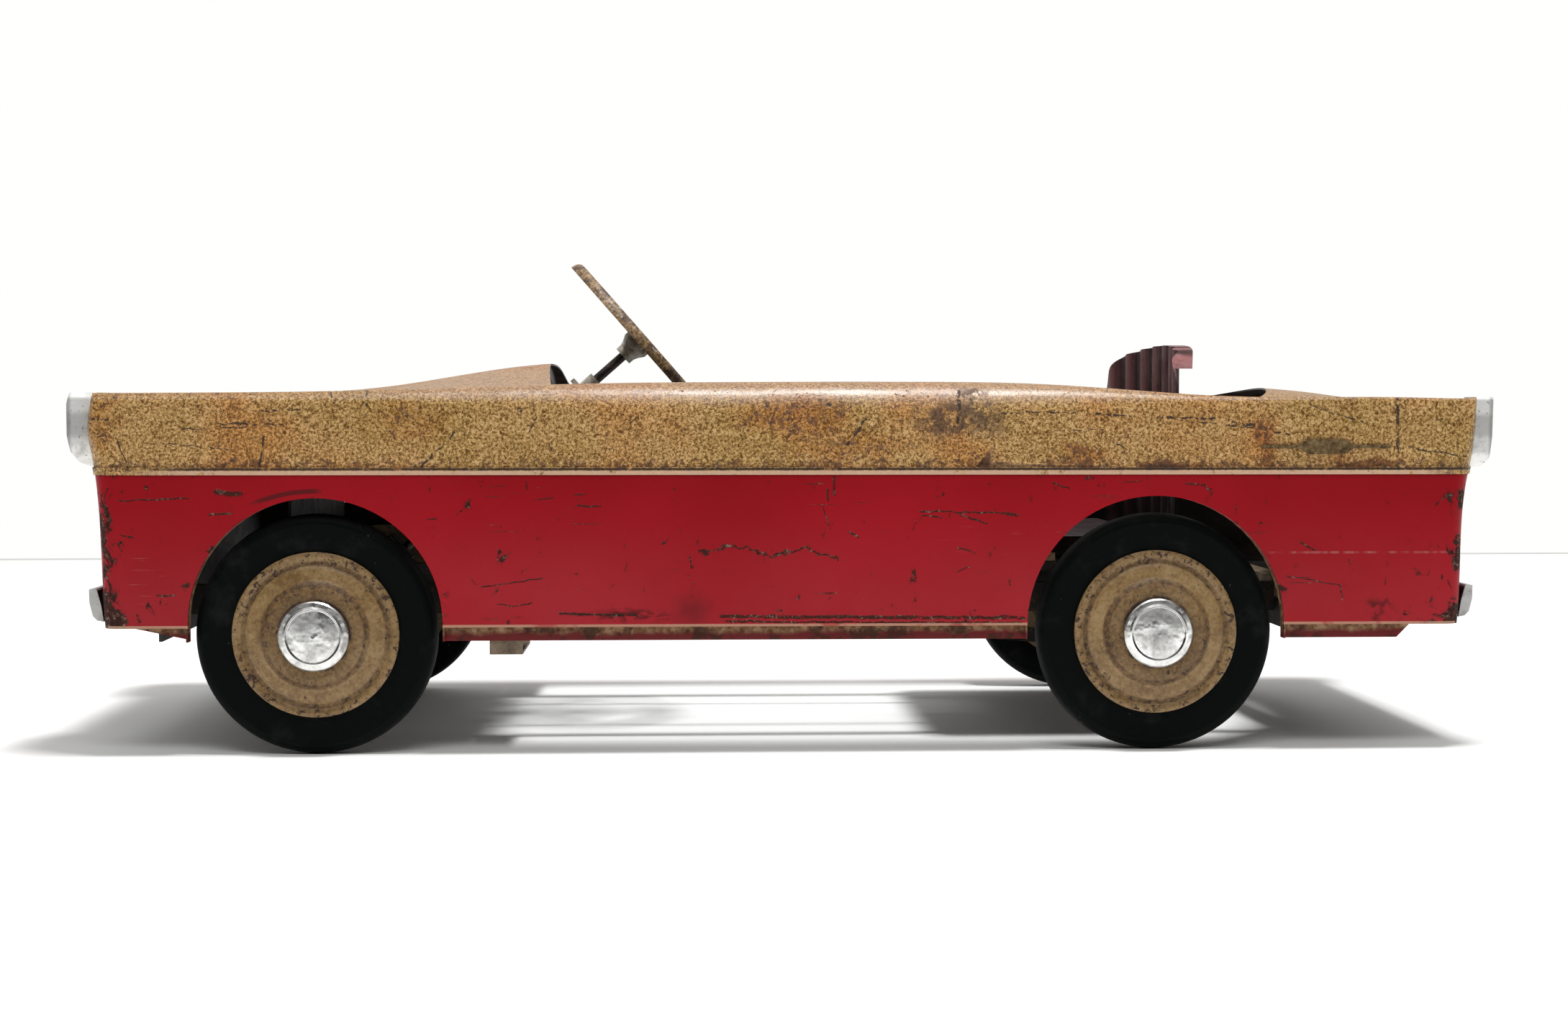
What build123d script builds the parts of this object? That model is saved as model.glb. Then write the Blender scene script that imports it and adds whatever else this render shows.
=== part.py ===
from build123d import *
from math import atan2, cos, degrees, hypot, pi, radians, sin
import os

# Child's pedal car of pressed steel, standing on its four wheels.
# The car faces -X, its left side is -Y and +Z is up.
# The origin is on the floor, midway along the car and on its centre line.

# ---------------------------------------------------------------- driving sizes (mm)
SHEET = 1.5                    # body sheet, taken a little thick
BODY_HALF_WIDTH = 212.0
SIDE_LEAN = 3.0                # the gold sides lean in by this much at the shoulder
SEAM_Z = 221.0                 # lower edge of the gold upper body
SEAM_BAND = 6.0                # height of the stepped-out band above the seam
BAND_STEP = 1.2
RED_BOTTOM_Z = 101.0
SILL_BOTTOM_Z = 90.0
SILL_INSET = 5.0
NOSE_X = -548.0
TAIL_X = 553.0
TAIL_JOINT_X = 489.0
MIDDLE_X = (NOSE_X + TAIL_X) / 2
PANEL_REACH = 522.0            # the flat red sides end this far from the middle
CORNER_RADIUS = 13.0           # vertical corners of the body in plan

WHEELBASE = 666.0
FRONT_AXLE_X = -372.0
REAR_AXLE_X = FRONT_AXLE_X + WHEELBASE
TYRE_RADIUS = 95.0
TYRE_WIDTH = 22.0
TYRE_BORE_RADIUS = 62.0
WHEEL_Y = 194.0                # middle plane of each tyre
AXLE_Z = TYRE_RADIUS
AXLE_DIAMETER = 10.0
HUB_DIAMETER = 16.0
RUNNING_GAP = 0.05             # radial clearance of every turning fit

FRONT_ARCH = (FRONT_AXLE_X + 1.0, 104.0, 100.5)      # centre x, centre z, radius
REAR_ARCH = (REAR_AXLE_X - 1.0, 101.0, 104.5)
ARCH_LIP = 10.0

COLUMN_ANGLE = 41.3            # degrees above horizontal
COLUMN_DIAMETER = 8.0
WHEEL_HUB_X = -120.0           # centre of the steering wheel's plane
WHEEL_HUB_Z = 333.0
STEERING_RADIUS = 81.5         # middle of the steering wheel's rim
CRANK_DROP = 45.0              # column axis to the tie rod, measured along the crank
KINGPIN_Y = 150.0
KINGPIN_DIAMETER = 10.0
KNUCKLE_ARM = 47.0
TIE_ROD_Z = 88.0               # underside of the tie rod
TIE_ROD_THICKNESS = 3.0

COCKPIT_FRONT_X = -197.0
COCKPIT_REAR_X = 429.0
COCKPIT_HALF_WIDTH = 168.0

RAIL_Y = 112.0                 # inner face of each frame rail
RAIL_WIDTH = 12.0
RAIL_Z = 104.0
RAIL_HEIGHT = 24.0
RAIL_TOP = RAIL_Z + RAIL_HEIGHT
PLATE = 2.5                    # frame brackets
NOSE_PLATE_X = -494.0          # upright plate ahead of the front wheels
AXLE_PLATE_X = -405.0          # upright plate just ahead of the front axle
REAR_MEMBER_X = 412.0

PEDAL_SHAFT_X = -262.0
PEDAL_SHAFT_Z = 236.0
PEDAL_SHAFT_DIAMETER = 8.0
PEDAL_Y = 58.0
PEDAL_PIN_Z = 100.0
CRANK_RADIUS = 35.0
CRANK_PIN_Y = 65.0             # middle of each crank pin and pedal rod
CRANK_WEB_GAP = 12.0

SEAT_X = 341.0                 # seat back on the centre line
SEAT_HALF_WIDTH = 150.0
SEAT_TOP_Z = 328.5
SEAT_PAN_Z = 166.0
SEAT_SWEEP = 22.0              # the side wings come this far forward
SEAT_LIP = 15.0
FLUTES = 8
FLUTE_DEPTH = 2.2

DASH_X = -202.0
DASH_BOTTOM_Z = 240.0
SLEEVE_DIAMETER = 14.0
LAMP_WALL = 1.6
BUMPER_Z = 105.5
BUMPER_HALF = 200.0
BEAM_FOOT_Z = 66.0             # underside of the plates that hold the kingpins
STUB_END_Y = 215.0             # ends of the stub axles and of the rear axle

COLUMN_UP = Vector(cos(radians(COLUMN_ANGLE)), 0, sin(radians(COLUMN_ANGLE)))
COLUMN_SIDE = Vector(sin(radians(COLUMN_ANGLE)), 0, -cos(radians(COLUMN_ANGLE)))
HUB_POINT = Vector(WHEEL_HUB_X, 0, WHEEL_HUB_Z)
SIDES = (("left", -1), ("right", 1))


# ---------------------------------------------------------------- helpers
def block(x0, x1, y0, y1, z0, z1):
    """Box between two corners, given in any order."""
    centre = Pos((x0 + x1) / 2, (y0 + y1) / 2, (z0 + z1) / 2)
    return centre * Box(abs(x1 - x0), abs(y1 - y0), abs(z1 - z0))


def bar(start, end, diameter):
    """Round bar between two points."""
    start, end = Vector(*start), Vector(*end)
    along = end - start
    return extrude(Plane(start, z_dir=along) * Circle(diameter / 2), along.length)


def side_plane(y):
    """Drawing plane with +X to the right and +Z up, facing -Y."""
    return Plane(origin=(0, y, 0), x_dir=(1, 0, 0), z_dir=(0, -1, 0))


def cross_plane(x):
    """Drawing plane with +Y to the right and +Z up, facing +X."""
    return Plane(origin=(x, 0, 0), x_dir=(0, 1, 0), z_dir=(1, 0, 0))


def column_plane(distance):
    """Plane square to the steering column, a distance up it from the wheel's centre."""
    return Plane(HUB_POINT + COLUMN_UP * distance, x_dir=(0, 1, 0), z_dir=COLUMN_UP)


def polygon(points):
    return make_face(Polyline(*points, close=True))


def side_prism(face, y0, y1):
    """Side-view face pushed out between two planes of constant y."""
    return extrude(side_plane(max(y0, y1)) * face, abs(y1 - y0))


def bent_strip(points, thickness):
    """Side-view face of a flat bar bent along an open polyline."""
    face = None
    for (ax, az), (bx, bz) in zip(points, points[1:]):
        turn = degrees(atan2(bz - az, bx - ax))
        leg = Rectangle(hypot(bx - ax, bz - az), thickness)
        leg = Pos((ax + bx) / 2, (az + bz) / 2) * Rot(0, 0, turn) * leg
        face = leg if face is None else face + leg
    for x, z in points[1:-1]:
        face += Pos(x, z) * Circle(thickness / 2)
    return face


def turned(points):
    """Solid of revolution about the Y axis from (radius, y) points."""
    return revolve(polygon(points), Axis.Y)


def as_group(pieces):
    return Compound(children=[solid for piece in pieces for solid in piece.solids()])


def mirrored_pair(piece):
    """A piece and its twin on the other side of the car."""
    return as_group([piece, mirror(piece, Plane.XZ)])


# ---------------------------------------------------------------- body
# Stations along the upper body: x, shoulder height, shoulder radius, then the height of
# the top just inside the shoulder, at 90 mm from the centre line, and on the centre line.
BODY_STATIONS = (
    (-560, 285.0, 7, 283.5, 284.0, 284.3),
    (-460, 285.4, 8, 284.2, 285.2, 285.8),
    (-370, 286.4, 10, 285.6, 287.2, 288.0),
    (-290, 288.6, 14, 288.0, 295.5, 299.0),
    (-197, 291.8, 20, 291.8, 306.5, 311.5),
    (-100, 293.8, 26, 293.8, 303.0, 306.0),
    (60, 294.6, 28, 294.4, 300.0, 302.0),
    (200, 293.0, 24, 292.4, 298.0, 300.0),
    (270, 288.4, 15, 286.6, 294.0, 297.0),
    (340, 283.6, 7, 280.6, 288.5, 294.0),
    (429, 282.4, 4, 276.6, 284.2, 291.0),
    (489, 282.4, 3.5, 275.5, 279.6, 283.6),
    (566, 282.4, 3.5, 275.0, 277.4, 279.6),
)
# Side view of the nose and of the tail, from below the sill to above the deck.
NOSE_LINE = (
    (-534.5, 80), (-538.5, 150), (-542.0, 215), (-544.6, 234), (-548.0, 258), (-544.6, 282),
    (-543.0, 330),
)
TAIL_LINE = ((537.5, 80), (542.0, 150), (546.0, 215), (549.6, 234), (552.4, 258), (553.2, 282),
             (554.0, 330))
VALLEY_WIDTH = 20.0            # the inner point lies this far inside the shoulder
CROWN_Y = 90.0


def body_section(station, inset):
    """Cross-section of the upper body, pulled in on all sides by the inset."""
    x, shoulder, radius, valley, crown, centre = station
    radius = radius - inset
    half = BODY_HALF_WIDTH - inset
    top_half = half - SIDE_LEAN
    bottom = SEAM_Z - 20 if inset else SEAM_Z
    z_start = shoulder - inset - radius
    flat_y = top_half - radius
    arc_y = flat_y + radius * sin(pi / 4)
    arc_z = z_start + radius * sin(pi / 4)
    inner_y = flat_y - VALLEY_WIDTH
    top = [
        (flat_y, shoulder - inset),
        (inner_y, valley - inset),
        (CROWN_Y, crown - inset),
        (0, centre - inset),
        (-CROWN_Y, crown - inset),
        (-inner_y, valley - inset),
        (-flat_y, shoulder - inset),
    ]
    wire = Wire([
        Line((-half, bottom), (half, bottom)),
        Line((half, bottom), (top_half, z_start)),
        ThreePointArc((top_half, z_start), (arc_y, arc_z), top[0]),
        Spline(*top, tangents=[(-1, 0), (-1, 0)]),
        ThreePointArc(top[-1], (-arc_y, arc_z), (-top_half, z_start)),
        Line((-top_half, z_start), (-half, bottom)),
    ])
    return cross_plane(x) * make_face(wire)


def body_ends(inset, half):
    """Block as wide as the body, with its curved nose and tail and rounded corners."""
    nose = Spline(*[(x + inset, z) for x, z in NOSE_LINE])
    tail = Spline(*[(x - inset, z) for x, z in TAIL_LINE])
    wire = Wire([nose, Line(nose @ 1, tail @ 1), tail, Line(tail @ 0, nose @ 0)])
    side = side_prism(make_face(wire), -half, half)
    corners = [
        edge for edge in side.edges()
        if abs(abs(edge.center().Y) - half) < 0.01 and abs(edge.center().X - MIDDLE_X) > 530
    ]
    return fillet(corners, CORNER_RADIUS - inset)


def body_solid(inset):
    sections = [body_section(station, inset) for station in BODY_STATIONS]
    return loft(sections) & body_ends(inset, BODY_HALF_WIDTH - inset)


def cockpit_cutter():
    """Plan shape of the cockpit, round at the back and swept at the cowl."""
    half = COCKPIT_HALF_WIDTH
    front = Spline(
        (COCKPIT_FRONT_X + 8, half), (COCKPIT_FRONT_X, 0), (COCKPIT_FRONT_X + 8, -half),
    )
    rear = Spline(
        (330, -half), (375, -145), (410, -91), (COCKPIT_REAR_X, 0), (410, 91), (375, 145), (330, half),
        tangents=[(1, 0), (-1, 0)],
    )
    wire = Wire([
        front, Line(front @ 1, rear @ 0), rear, Line(rear @ 1, front @ 0),
    ])
    return extrude(Plane.XY.offset(SEAM_Z - 30) * make_face(wire), 200)


def seam_band():
    """Stepped-out band that runs round the lower edge of the upper body."""
    outer = body_ends(-BAND_STEP, BODY_HALF_WIDTH + BAND_STEP)
    hole = body_ends(1, BODY_HALF_WIDTH - 1)
    return (outer - hole) & block(-600, 600, -250, 250, SEAM_Z, SEAM_Z + SEAM_BAND)


def upper_body(inside):
    return body_solid(0) + seam_band() - inside - cockpit_cutter()


def arch_face(arch, radius):
    """Opening of a wheel arch, straight-sided below its centre."""
    x, z, _ = arch
    lower = Pos(x, z / 2 - 20) * Rectangle(2 * radius, z + 40)
    return Pos(x, z) * Circle(radius) + lower


def side_panel(side):
    """Red side with rolled arch lips and a set-back sill, in one pressing."""
    outer = BODY_HALF_WIDTH - 0.2
    inner = outer - SHEET
    reach = PANEL_REACH
    panel = block(-reach, reach, side * outer, side * inner, RED_BOTTOM_Z, SEAM_Z - 0.3)
    sill_out = outer - SILL_INSET
    sill = side_prism(
        polygon([(-521, RED_BOTTOM_Z + SHEET), (-462, SILL_BOTTOM_Z), (489, SILL_BOTTOM_Z),
                 (501, RED_BOTTOM_Z + SHEET)]),
        side * sill_out, side * (sill_out - SHEET))
    hem = block(4 - reach, reach - 4, side * outer, side * (sill_out - SHEET),
                RED_BOTTOM_Z, RED_BOTTOM_Z + SHEET)
    panel = panel + sill + hem
    for arch in (FRONT_ARCH, REAR_ARCH):
        radius = arch[2]
        panel -= side_prism(arch_face(arch, radius), side * (outer + 1), side * (outer - 30))
        lip = arch_face(arch, radius + 0.01) - arch_face(arch, radius - SHEET)
        lip = side_prism(lip, side * outer, side * (outer - ARCH_LIP))
        panel += lip & block(-600, 600, -250, 250, SILL_BOTTOM_Z, 250)
    return panel


def end_panel(x_sign):
    """Red panel across the nose or the tail, wrapped round both corners."""
    half = BODY_HALF_WIDTH - 0.2
    outer = body_ends(0, half) - body_ends(SHEET, half - SHEET)
    keep = block(x_sign * PANEL_REACH, x_sign * 600, -250, 250, RED_BOTTOM_Z, SEAM_Z - 0.3)
    return outer & keep


def dash_panel(inside):
    """Upright sheet that closes the cowl, with the hole for the column sleeve."""
    slab = block(DASH_X - SHEET, DASH_X, -BODY_HALF_WIDTH, BODY_HALF_WIDTH, DASH_BOTTOM_Z, SEAT_TOP_Z)
    hole = extrude(column_plane(-150) * Circle(SLEEVE_DIAMETER / 2 + 0.1), 120)
    return (slab & inside) - hole


def instrument_plate():
    """Arched plate on the dash above the column."""
    arch = Pos(0, 284) * Ellipse(60, 16) & Pos(0, 294) * Rectangle(130, 20)
    return extrude(cross_plane(DASH_X) * arch, 0.8)


def lamp(outer_side, front_shape, back_cut, glass_depth, sign):
    """Pressed lamp: a hood with an open face and a domed floor set inside it."""
    hood = outer_side & front_shape(0)
    hood -= front_shape(LAMP_WALL)
    floor = front_shape(LAMP_WALL) & outer_side
    floor &= Pos(sign * -glass_depth, 0, 0) * outer_side
    inner = Pos(sign * -(glass_depth + LAMP_WALL), 0, 0) * outer_side
    return (hood + (floor - inner)) - back_cut


def headlight(side, body_block):
    """Hooded headlamp on the nose: flat on top, rounded underneath."""
    y_in, y_out = side * 112, side * 194
    centre_y = (y_in + y_out) / 2
    profile = [(-530, 285.4), (-564, 285.4), (-566, 276), (-566, 252), (-563.5, 239),
               (-558, 230.5), (-550, 226.6), (-530, 226.2)]
    hood = side_prism(polygon(profile), y_in, y_out)

    def face_shape(inset):
        shape = Pos(centre_y, 255.8) * RectangleRounded(82 - 2 * inset, 59.2 - 2 * inset, 20 - inset)
        top = Pos(centre_y, 270) * RectangleRounded(82 - 2 * inset, 30.8 - 2 * inset, 6 - inset)
        return extrude(cross_plane(-600) * (shape + top), 90)

    return lamp(hood, face_shape, body_block, 7, -1)


def tail_lamp(side, body_block):
    """Upright lamp on the end of each fin, rounded at the foot."""
    y_in, y_out = side * 172, side * 204
    centre_y = (y_in + y_out) / 2
    profile = [(540, 282.6), (566, 282.6), (565.4, 250), (563.5, 234), (559, 227), (550, 225.8),
               (540, 225.8)]
    hood = side_prism(polygon(profile), y_in, y_out)

    def face_shape(inset):
        shape = Pos(centre_y, 254.2) * RectangleRounded(32 - 2 * inset, 56.8 - 2 * inset, 13 - inset)
        top = Pos(centre_y, 268) * RectangleRounded(32 - 2 * inset, 29.2 - 2 * inset, 3 - inset)
        return extrude(cross_plane(520) * (shape + top), 90)

    return lamp(hood, face_shape, body_block, 5, 1)


def bumper(x_sign):
    """Bright blade, hollow at the back and closed at both ends."""
    skin = [(0, 0), (-5, 1), (-8.5, 4.5), (-11, 15), (-11.2, 25.5), (-5.5, 26), (-2, 13)]
    core = [(2, 2), (-3.8, 2.8), (-7.2, 5.6), (-9.6, 15), (-9.8, 24), (-5, 24.4), (2, 24.4)]
    x0 = -537.8 if x_sign < 0 else 541.8

    def placed(points, half):
        face = polygon([(x0 - x_sign * x, BUMPER_Z + z) for x, z in points])
        return side_prism(face, -half, half)

    return placed(skin, BUMPER_HALF) - placed(core, BUMPER_HALF - SHEET)


def bumper_bars():
    """Dark bars that hold each blade off the body."""
    front = block(-541.6, -538.4, -190, 190, BUMPER_Z + 4, BUMPER_Z + 23)
    rear = block(542.2, 545.6, -190, 190, BUMPER_Z + 4, BUMPER_Z + 23)
    return as_group([front, rear])


def side_emblems():
    """Plain bar with a lozenge on each rear flank."""
    bar_face = Pos(428.5, 243) * SlotOverall(105, 3)
    lozenge = polygon([(404, 243), (414, 249), (443, 249), (453, 243), (443, 237), (414, 237)])
    y = BODY_HALF_WIDTH - 0.75
    return mirrored_pair(side_prism(bar_face + lozenge, -y, -y - 1.2))


# ---------------------------------------------------------------- seat
def seat_line(shift, depth=FLUTE_DEPTH):
    """Plan curve of the seat back, moved along X, with flutes of that depth."""
    points = []
    steps = FLUTES * 8
    for step in range(steps + 1):
        y = SEAT_HALF_WIDTH * (2 * step / steps - 1)
        sweep = SEAT_SWEEP * (y / SEAT_HALF_WIDTH) ** 2
        flute = depth * cos(pi * FLUTES * y / SEAT_HALF_WIDTH)
        points.append((SEAT_X + shift - sweep + flute, y))
    return Spline(*points)


def seat_slice(front, back, back_depth=FLUTE_DEPTH):
    """Upright layer of the seat back between two shifts."""
    near, far = seat_line(front), seat_line(back, back_depth)
    wire = Wire([near, Line(near @ 1, far @ 1), far, Line(far @ 0, near @ 0)])
    return extrude(Plane.XY.offset(SEAT_PAN_Z - 2.5) * make_face(wire), 200)


def seat_arch(inset):
    """Front view of the seat back: upright sides and a broad arched top."""
    half = SEAT_HALF_WIDTH - inset
    top = SEAT_TOP_Z - inset
    wire = Wire([
        Line((-half, 100), (half, 100)),
        Line((half, 100), (half, 284)),
        ThreePointArc((half, 284), (half - 13, top - 21), (half - 45, top - 6.5)),
        ThreePointArc((half - 45, top - 6.5), (0, top), (45 - half, top - 6.5)),
        ThreePointArc((45 - half, top - 6.5), (13 - half, top - 21), (-half, 284)),
        Line((-half, 284), (-half, 100)),
    ])
    return extrude(cross_plane(280) * make_face(wire), 120)


def seat_back():
    """Fluted back with a lip rolled to the rear and a foot under the pan."""
    panel = seat_slice(0, SHEET) & seat_arch(0)
    rim = seat_arch(0) - seat_arch(SHEET)
    lip = seat_slice(SHEET / 2, SEAT_LIP, 0) & rim & block(250, 420, -200, 200, 306, 340)
    foot = block(290, SEAT_X, -120, 120, SEAT_PAN_Z - SHEET, SEAT_PAN_Z)
    foot -= seat_slice(SHEET / 2, 60)
    return panel + lip + foot


def seat_pan():
    """Flat pan with turned-down front and side edges."""
    front, rear, half, drop = 130, 312, 140, 12
    tray = block(front, rear, -half, half, SEAT_PAN_Z - drop, SEAT_PAN_Z + SHEET)
    tray = fillet(tray.edges().filter_by(Axis.Z).sort_by(Axis.X)[:2], 20)
    hollow = block(front + SHEET, rear + 1, SHEET - half, half - SHEET, SEAT_PAN_Z - drop - 1, SEAT_PAN_Z)
    hollow = fillet(hollow.edges().filter_by(Axis.Z).sort_by(Axis.X)[:2], 18.5)
    return tray - hollow


def seat_brackets():
    """Four bent straps that carry the pan on the rails."""
    half_plate = PLATE / 2
    line = [(RAIL_Y + 1, RAIL_TOP + half_plate), (130, RAIL_TOP + half_plate),
            (130, SEAT_PAN_Z - half_plate), (137, SEAT_PAN_Z - half_plate)]
    strap = bent_strip(line, PLATE)
    straps = [extrude(cross_plane(x) * strap, 22) for x in (170, 270)]
    return mirrored_pair(as_group(straps))


# ---------------------------------------------------------------- frame
def frame_rail(side):
    """Pressed channel, open towards the middle of the car."""
    y_in, y_out = side * RAIL_Y, side * (RAIL_Y + RAIL_WIDTH)
    solid = block(-536, 539, y_in, y_out, RAIL_Z, RAIL_TOP)
    hollow = block(-537, 540, y_in - side, y_out - side * 2, RAIL_Z + 2, RAIL_TOP - 2)
    return (solid - hollow) & body_ends(SHEET + 0.4, BODY_HALF_WIDTH)


def front_cross_plates():
    """Upright plates across the rails: one ahead of the front wheels, one at the axle."""
    x = NOSE_PLATE_X
    nose = block(x, x + PLATE, -205, 205, SILL_BOTTOM_Z, 200)
    for _, side in SIDES:
        rail = block(x - 1, x + PLATE + 1, side * RAIL_Y, side * (RAIL_Y + RAIL_WIDTH),
                     RAIL_Z, RAIL_TOP)
        nose -= rail
    axle = block(AXLE_PLATE_X, AXLE_PLATE_X + PLATE, -136, 136, RAIL_TOP, 200)
    return as_group([nose, axle])


def front_axle_beam():
    """Strap over the rails whose ends carry the kingpins between two plates."""
    x0, x1 = FRONT_AXLE_X - 18, FRONT_AXLE_X + 10
    strap = block(x0, x1, -163, 163, RAIL_TOP, RAIL_TOP + 4)
    web = block(x0, x1, 128, 132, BEAM_FOOT_Z, RAIL_TOP)
    foot = block(x0, x1, 128, 163, BEAM_FOOT_Z, BEAM_FOOT_Z + 4)
    beam = strap
    for _, side in SIDES:
        end = web + foot
        beam += end if side > 0 else mirror(end, Plane.XZ)
        pin = Pos(FRONT_AXLE_X, side * KINGPIN_Y, 100) * Cylinder(KINGPIN_DIAMETER / 2, 120)
        beam -= pin
    return beam


def kingpins():
    """Two headed pins, pressed through the beam's ends."""
    bottom, top = BEAM_FOOT_Z - 4, RAIL_TOP + 4
    shank = bar((FRONT_AXLE_X, KINGPIN_Y, bottom), (FRONT_AXLE_X, KINGPIN_Y, top), KINGPIN_DIAMETER)
    head = bar((FRONT_AXLE_X, KINGPIN_Y, top), (FRONT_AXLE_X, KINGPIN_Y, top + 4), 16)
    return mirrored_pair(shank + head)


def rear_cross_member():
    """Angle over the rails whose upright web closes the space behind the rear wheels."""
    x = REAR_MEMBER_X
    flat = block(x, x + 18, -209.5, 209.5, RAIL_TOP, RAIL_TOP + 4)
    web = block(x, x + PLATE, -204.5, 204.5, SILL_BOTTOM_Z + 2, RAIL_TOP)
    for _, side in SIDES:
        web -= block(x - 1, x + PLATE + 1, side * RAIL_Y, side * (RAIL_Y + RAIL_WIDTH), RAIL_Z,
                     RAIL_TOP)
    return flat + web


def sill_brackets():
    """Straps under the body from each rail out to the sill."""
    y_rail = RAIL_Y + RAIL_WIDTH + PLATE / 2
    y_sill = BODY_HALF_WIDTH - 0.2 - SILL_INSET - SHEET - PLATE / 2
    line = [(y_rail, 122), (y_rail, 80), (y_sill, 80), (y_sill, 97)]
    return mirrored_pair(extrude(cross_plane(-236) * bent_strip(line, PLATE), 26))


def rear_axle_brackets():
    """Plates on the rails that hold the rear axle's bushes."""
    y = RAIL_Y + RAIL_WIDTH
    shape = polygon([(REAR_AXLE_X - 22, 125), (REAR_AXLE_X + 22, 125), (REAR_AXLE_X + 14, 80),
                     (REAR_AXLE_X - 14, 80)])
    shape -= Pos(REAR_AXLE_X, AXLE_Z) * Circle(HUB_DIAMETER / 2)
    return mirrored_pair(side_prism(shape, y, y + PLATE))


def rear_axle_bushes():
    """Flanged plain bushes pressed into the rear axle's plates."""
    y = RAIL_Y + RAIL_WIDTH
    bore = AXLE_DIAMETER / 2 + RUNNING_GAP
    half = HUB_DIAMETER / 2
    section = [(bore, y - 4), (half, y - 4), (half, y + PLATE), (half + 3, y + PLATE),
               (half + 3, y + PLATE + 2), (bore, y + PLATE + 2)]
    return mirrored_pair(Pos(REAR_AXLE_X, 0, AXLE_Z) * turned(section))


def pedal_hangers():
    """Upright straps on the rails that carry the pedal shaft."""
    y = RAIL_Y + RAIL_WIDTH
    shape = Pos(PEDAL_SHAFT_X, 178) * SlotOverall(140, 20, rotation=90)
    shape -= Pos(PEDAL_SHAFT_X, PEDAL_SHAFT_Z) * Circle(PEDAL_SHAFT_DIAMETER / 2)
    return mirrored_pair(side_prism(shape, y, y + PLATE))


def pedal_shaft():
    end = RAIL_Y + RAIL_WIDTH + PLATE
    rod = bar((PEDAL_SHAFT_X, -end - 1, PEDAL_SHAFT_Z), (PEDAL_SHAFT_X, end + 1, PEDAL_SHAFT_Z),
              PEDAL_SHAFT_DIAMETER)
    head = bar((PEDAL_SHAFT_X, end, PEDAL_SHAFT_Z), (PEDAL_SHAFT_X, end + 3, PEDAL_SHAFT_Z), 13)
    return rod + head + mirror(head, Plane.XZ)


def frame_rivets():
    """Rivet heads that show on the brackets and straps."""
    y = RAIL_Y + RAIL_WIDTH + PLATE
    places = [(REAR_AXLE_X - 12, 117), (REAR_AXLE_X + 12, 117), (PEDAL_SHAFT_X, 118),
              (-223, 117)]
    heads = [side_head(x, y, z) for x, z in places]
    heads += [top_head(FRONT_AXLE_X - 12, 118, RAIL_TOP + 4), top_head(421, 118, RAIL_TOP + 4)]
    return mirrored_pair(as_group(heads))


def side_head(x, y, z):
    return bar((x, y, z), (x, y + 2.2, z), 7)


def top_head(x, y, z):
    return bar((x, y, z), (x, y, z + 2.2), 7)


# ---------------------------------------------------------------- steering
def steering_wheel():
    """Pressed rim, open at the back, with three flat spokes and a centre plate."""
    outer = Ellipse(6.2, 9.0) & Pos(0, 4.5) * Rectangle(13, 9)
    inner = Ellipse(4.9, 7.6) & Pos(0, 3.8) * Rectangle(10, 7.8)
    section = outer - inner
    flat = Plane.XZ * Pos(STEERING_RADIUS, -4.5) * section
    rim = revolve(flat, Axis.Z)
    spokes = Pos(0, 0, -3.5) * Cylinder(17, 1.6)
    for turn in (-90, 30, 150):
        spoke = Pos(STEERING_RADIUS / 2, 0, -3.5) * Box(STEERING_RADIUS - 2, 17, 1.6)
        spokes += Rot(0, 0, turn) * spoke
    wheel = rim + (spokes - Pos(0, 0, -3.5) * Cylinder(COLUMN_DIAMETER / 2, 5))
    return column_plane(0).location * wheel


def steering_hub():
    """Moulded boss under the wheel, flared towards it."""
    bore = COLUMN_DIAMETER / 2
    section = [(bore, -22), (8.5, -22), (8.5, -17), (10, -13), (13, -8), (13, -4.3), (bore, -4.3)]
    wire = Plane.XZ * polygon(section)
    return column_plane(0).location * revolve(wire, Axis.Z)


def column_foot():
    """Where the straight column turns into its crank."""
    crank_z = TIE_ROD_Z + TIE_ROD_THICKNESS / 2
    foot_z = crank_z - CRANK_DROP * COLUMN_SIDE.Z
    return HUB_POINT + COLUMN_UP * ((foot_z - HUB_POINT.Z) / COLUMN_UP.Z)


def steering_column():
    """Round rod from the wheel down to the crank that moves the tie rod."""
    foot = column_foot()
    top = HUB_POINT + COLUMN_UP * 1.5
    tip = foot + COLUMN_SIDE * (CRANK_DROP + 9)
    rod = bar(tuple(foot), tuple(top), COLUMN_DIAMETER)
    crank = bar(tuple(foot), tuple(tip), COLUMN_DIAMETER)
    bend = Pos(foot.X, 0, foot.Z) * Sphere(COLUMN_DIAMETER / 2)
    cap = extrude(column_plane(-2.7) * Circle(7), 4)
    return rod + crank + bend + cap


def column_sleeve():
    """Pale moulded sleeve in the dash, with a collar on the driver's side."""
    sleeve = extrude(column_plane(-115) * Circle(SLEEVE_DIAMETER / 2), 62)
    seat = extrude(column_plane(-115) * Circle(10), 46)
    seat -= block(-260, DASH_X, -20, 20, 200, 320)
    collar = extrude(column_plane(-71) * Circle(14), 4)
    bore = extrude(column_plane(-130) * Circle(COLUMN_DIAMETER / 2 + RUNNING_GAP), 100)
    return sleeve + seat + collar - bore


def column_steady():
    """Bent strap on the front beam that guides the lower column."""
    distance = (150.0 - WHEEL_HUB_Z) / COLUMN_UP.Z
    middle = HUB_POINT + COLUMN_UP * distance
    high = middle - COLUMN_SIDE * 16
    low = middle + COLUMN_SIDE * 11
    rest_z = RAIL_TOP + 4 + PLATE / 2
    line = [(FRONT_AXLE_X - 15, rest_z), (FRONT_AXLE_X - 2, rest_z), (high.X, high.Z), (low.X, low.Z)]
    strap = side_prism(bent_strip(line, PLATE), -11, 11)
    bore = COLUMN_DIAMETER / 2 + RUNNING_GAP
    return strap - extrude(column_plane(distance - 8) * Circle(bore), 16)


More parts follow.
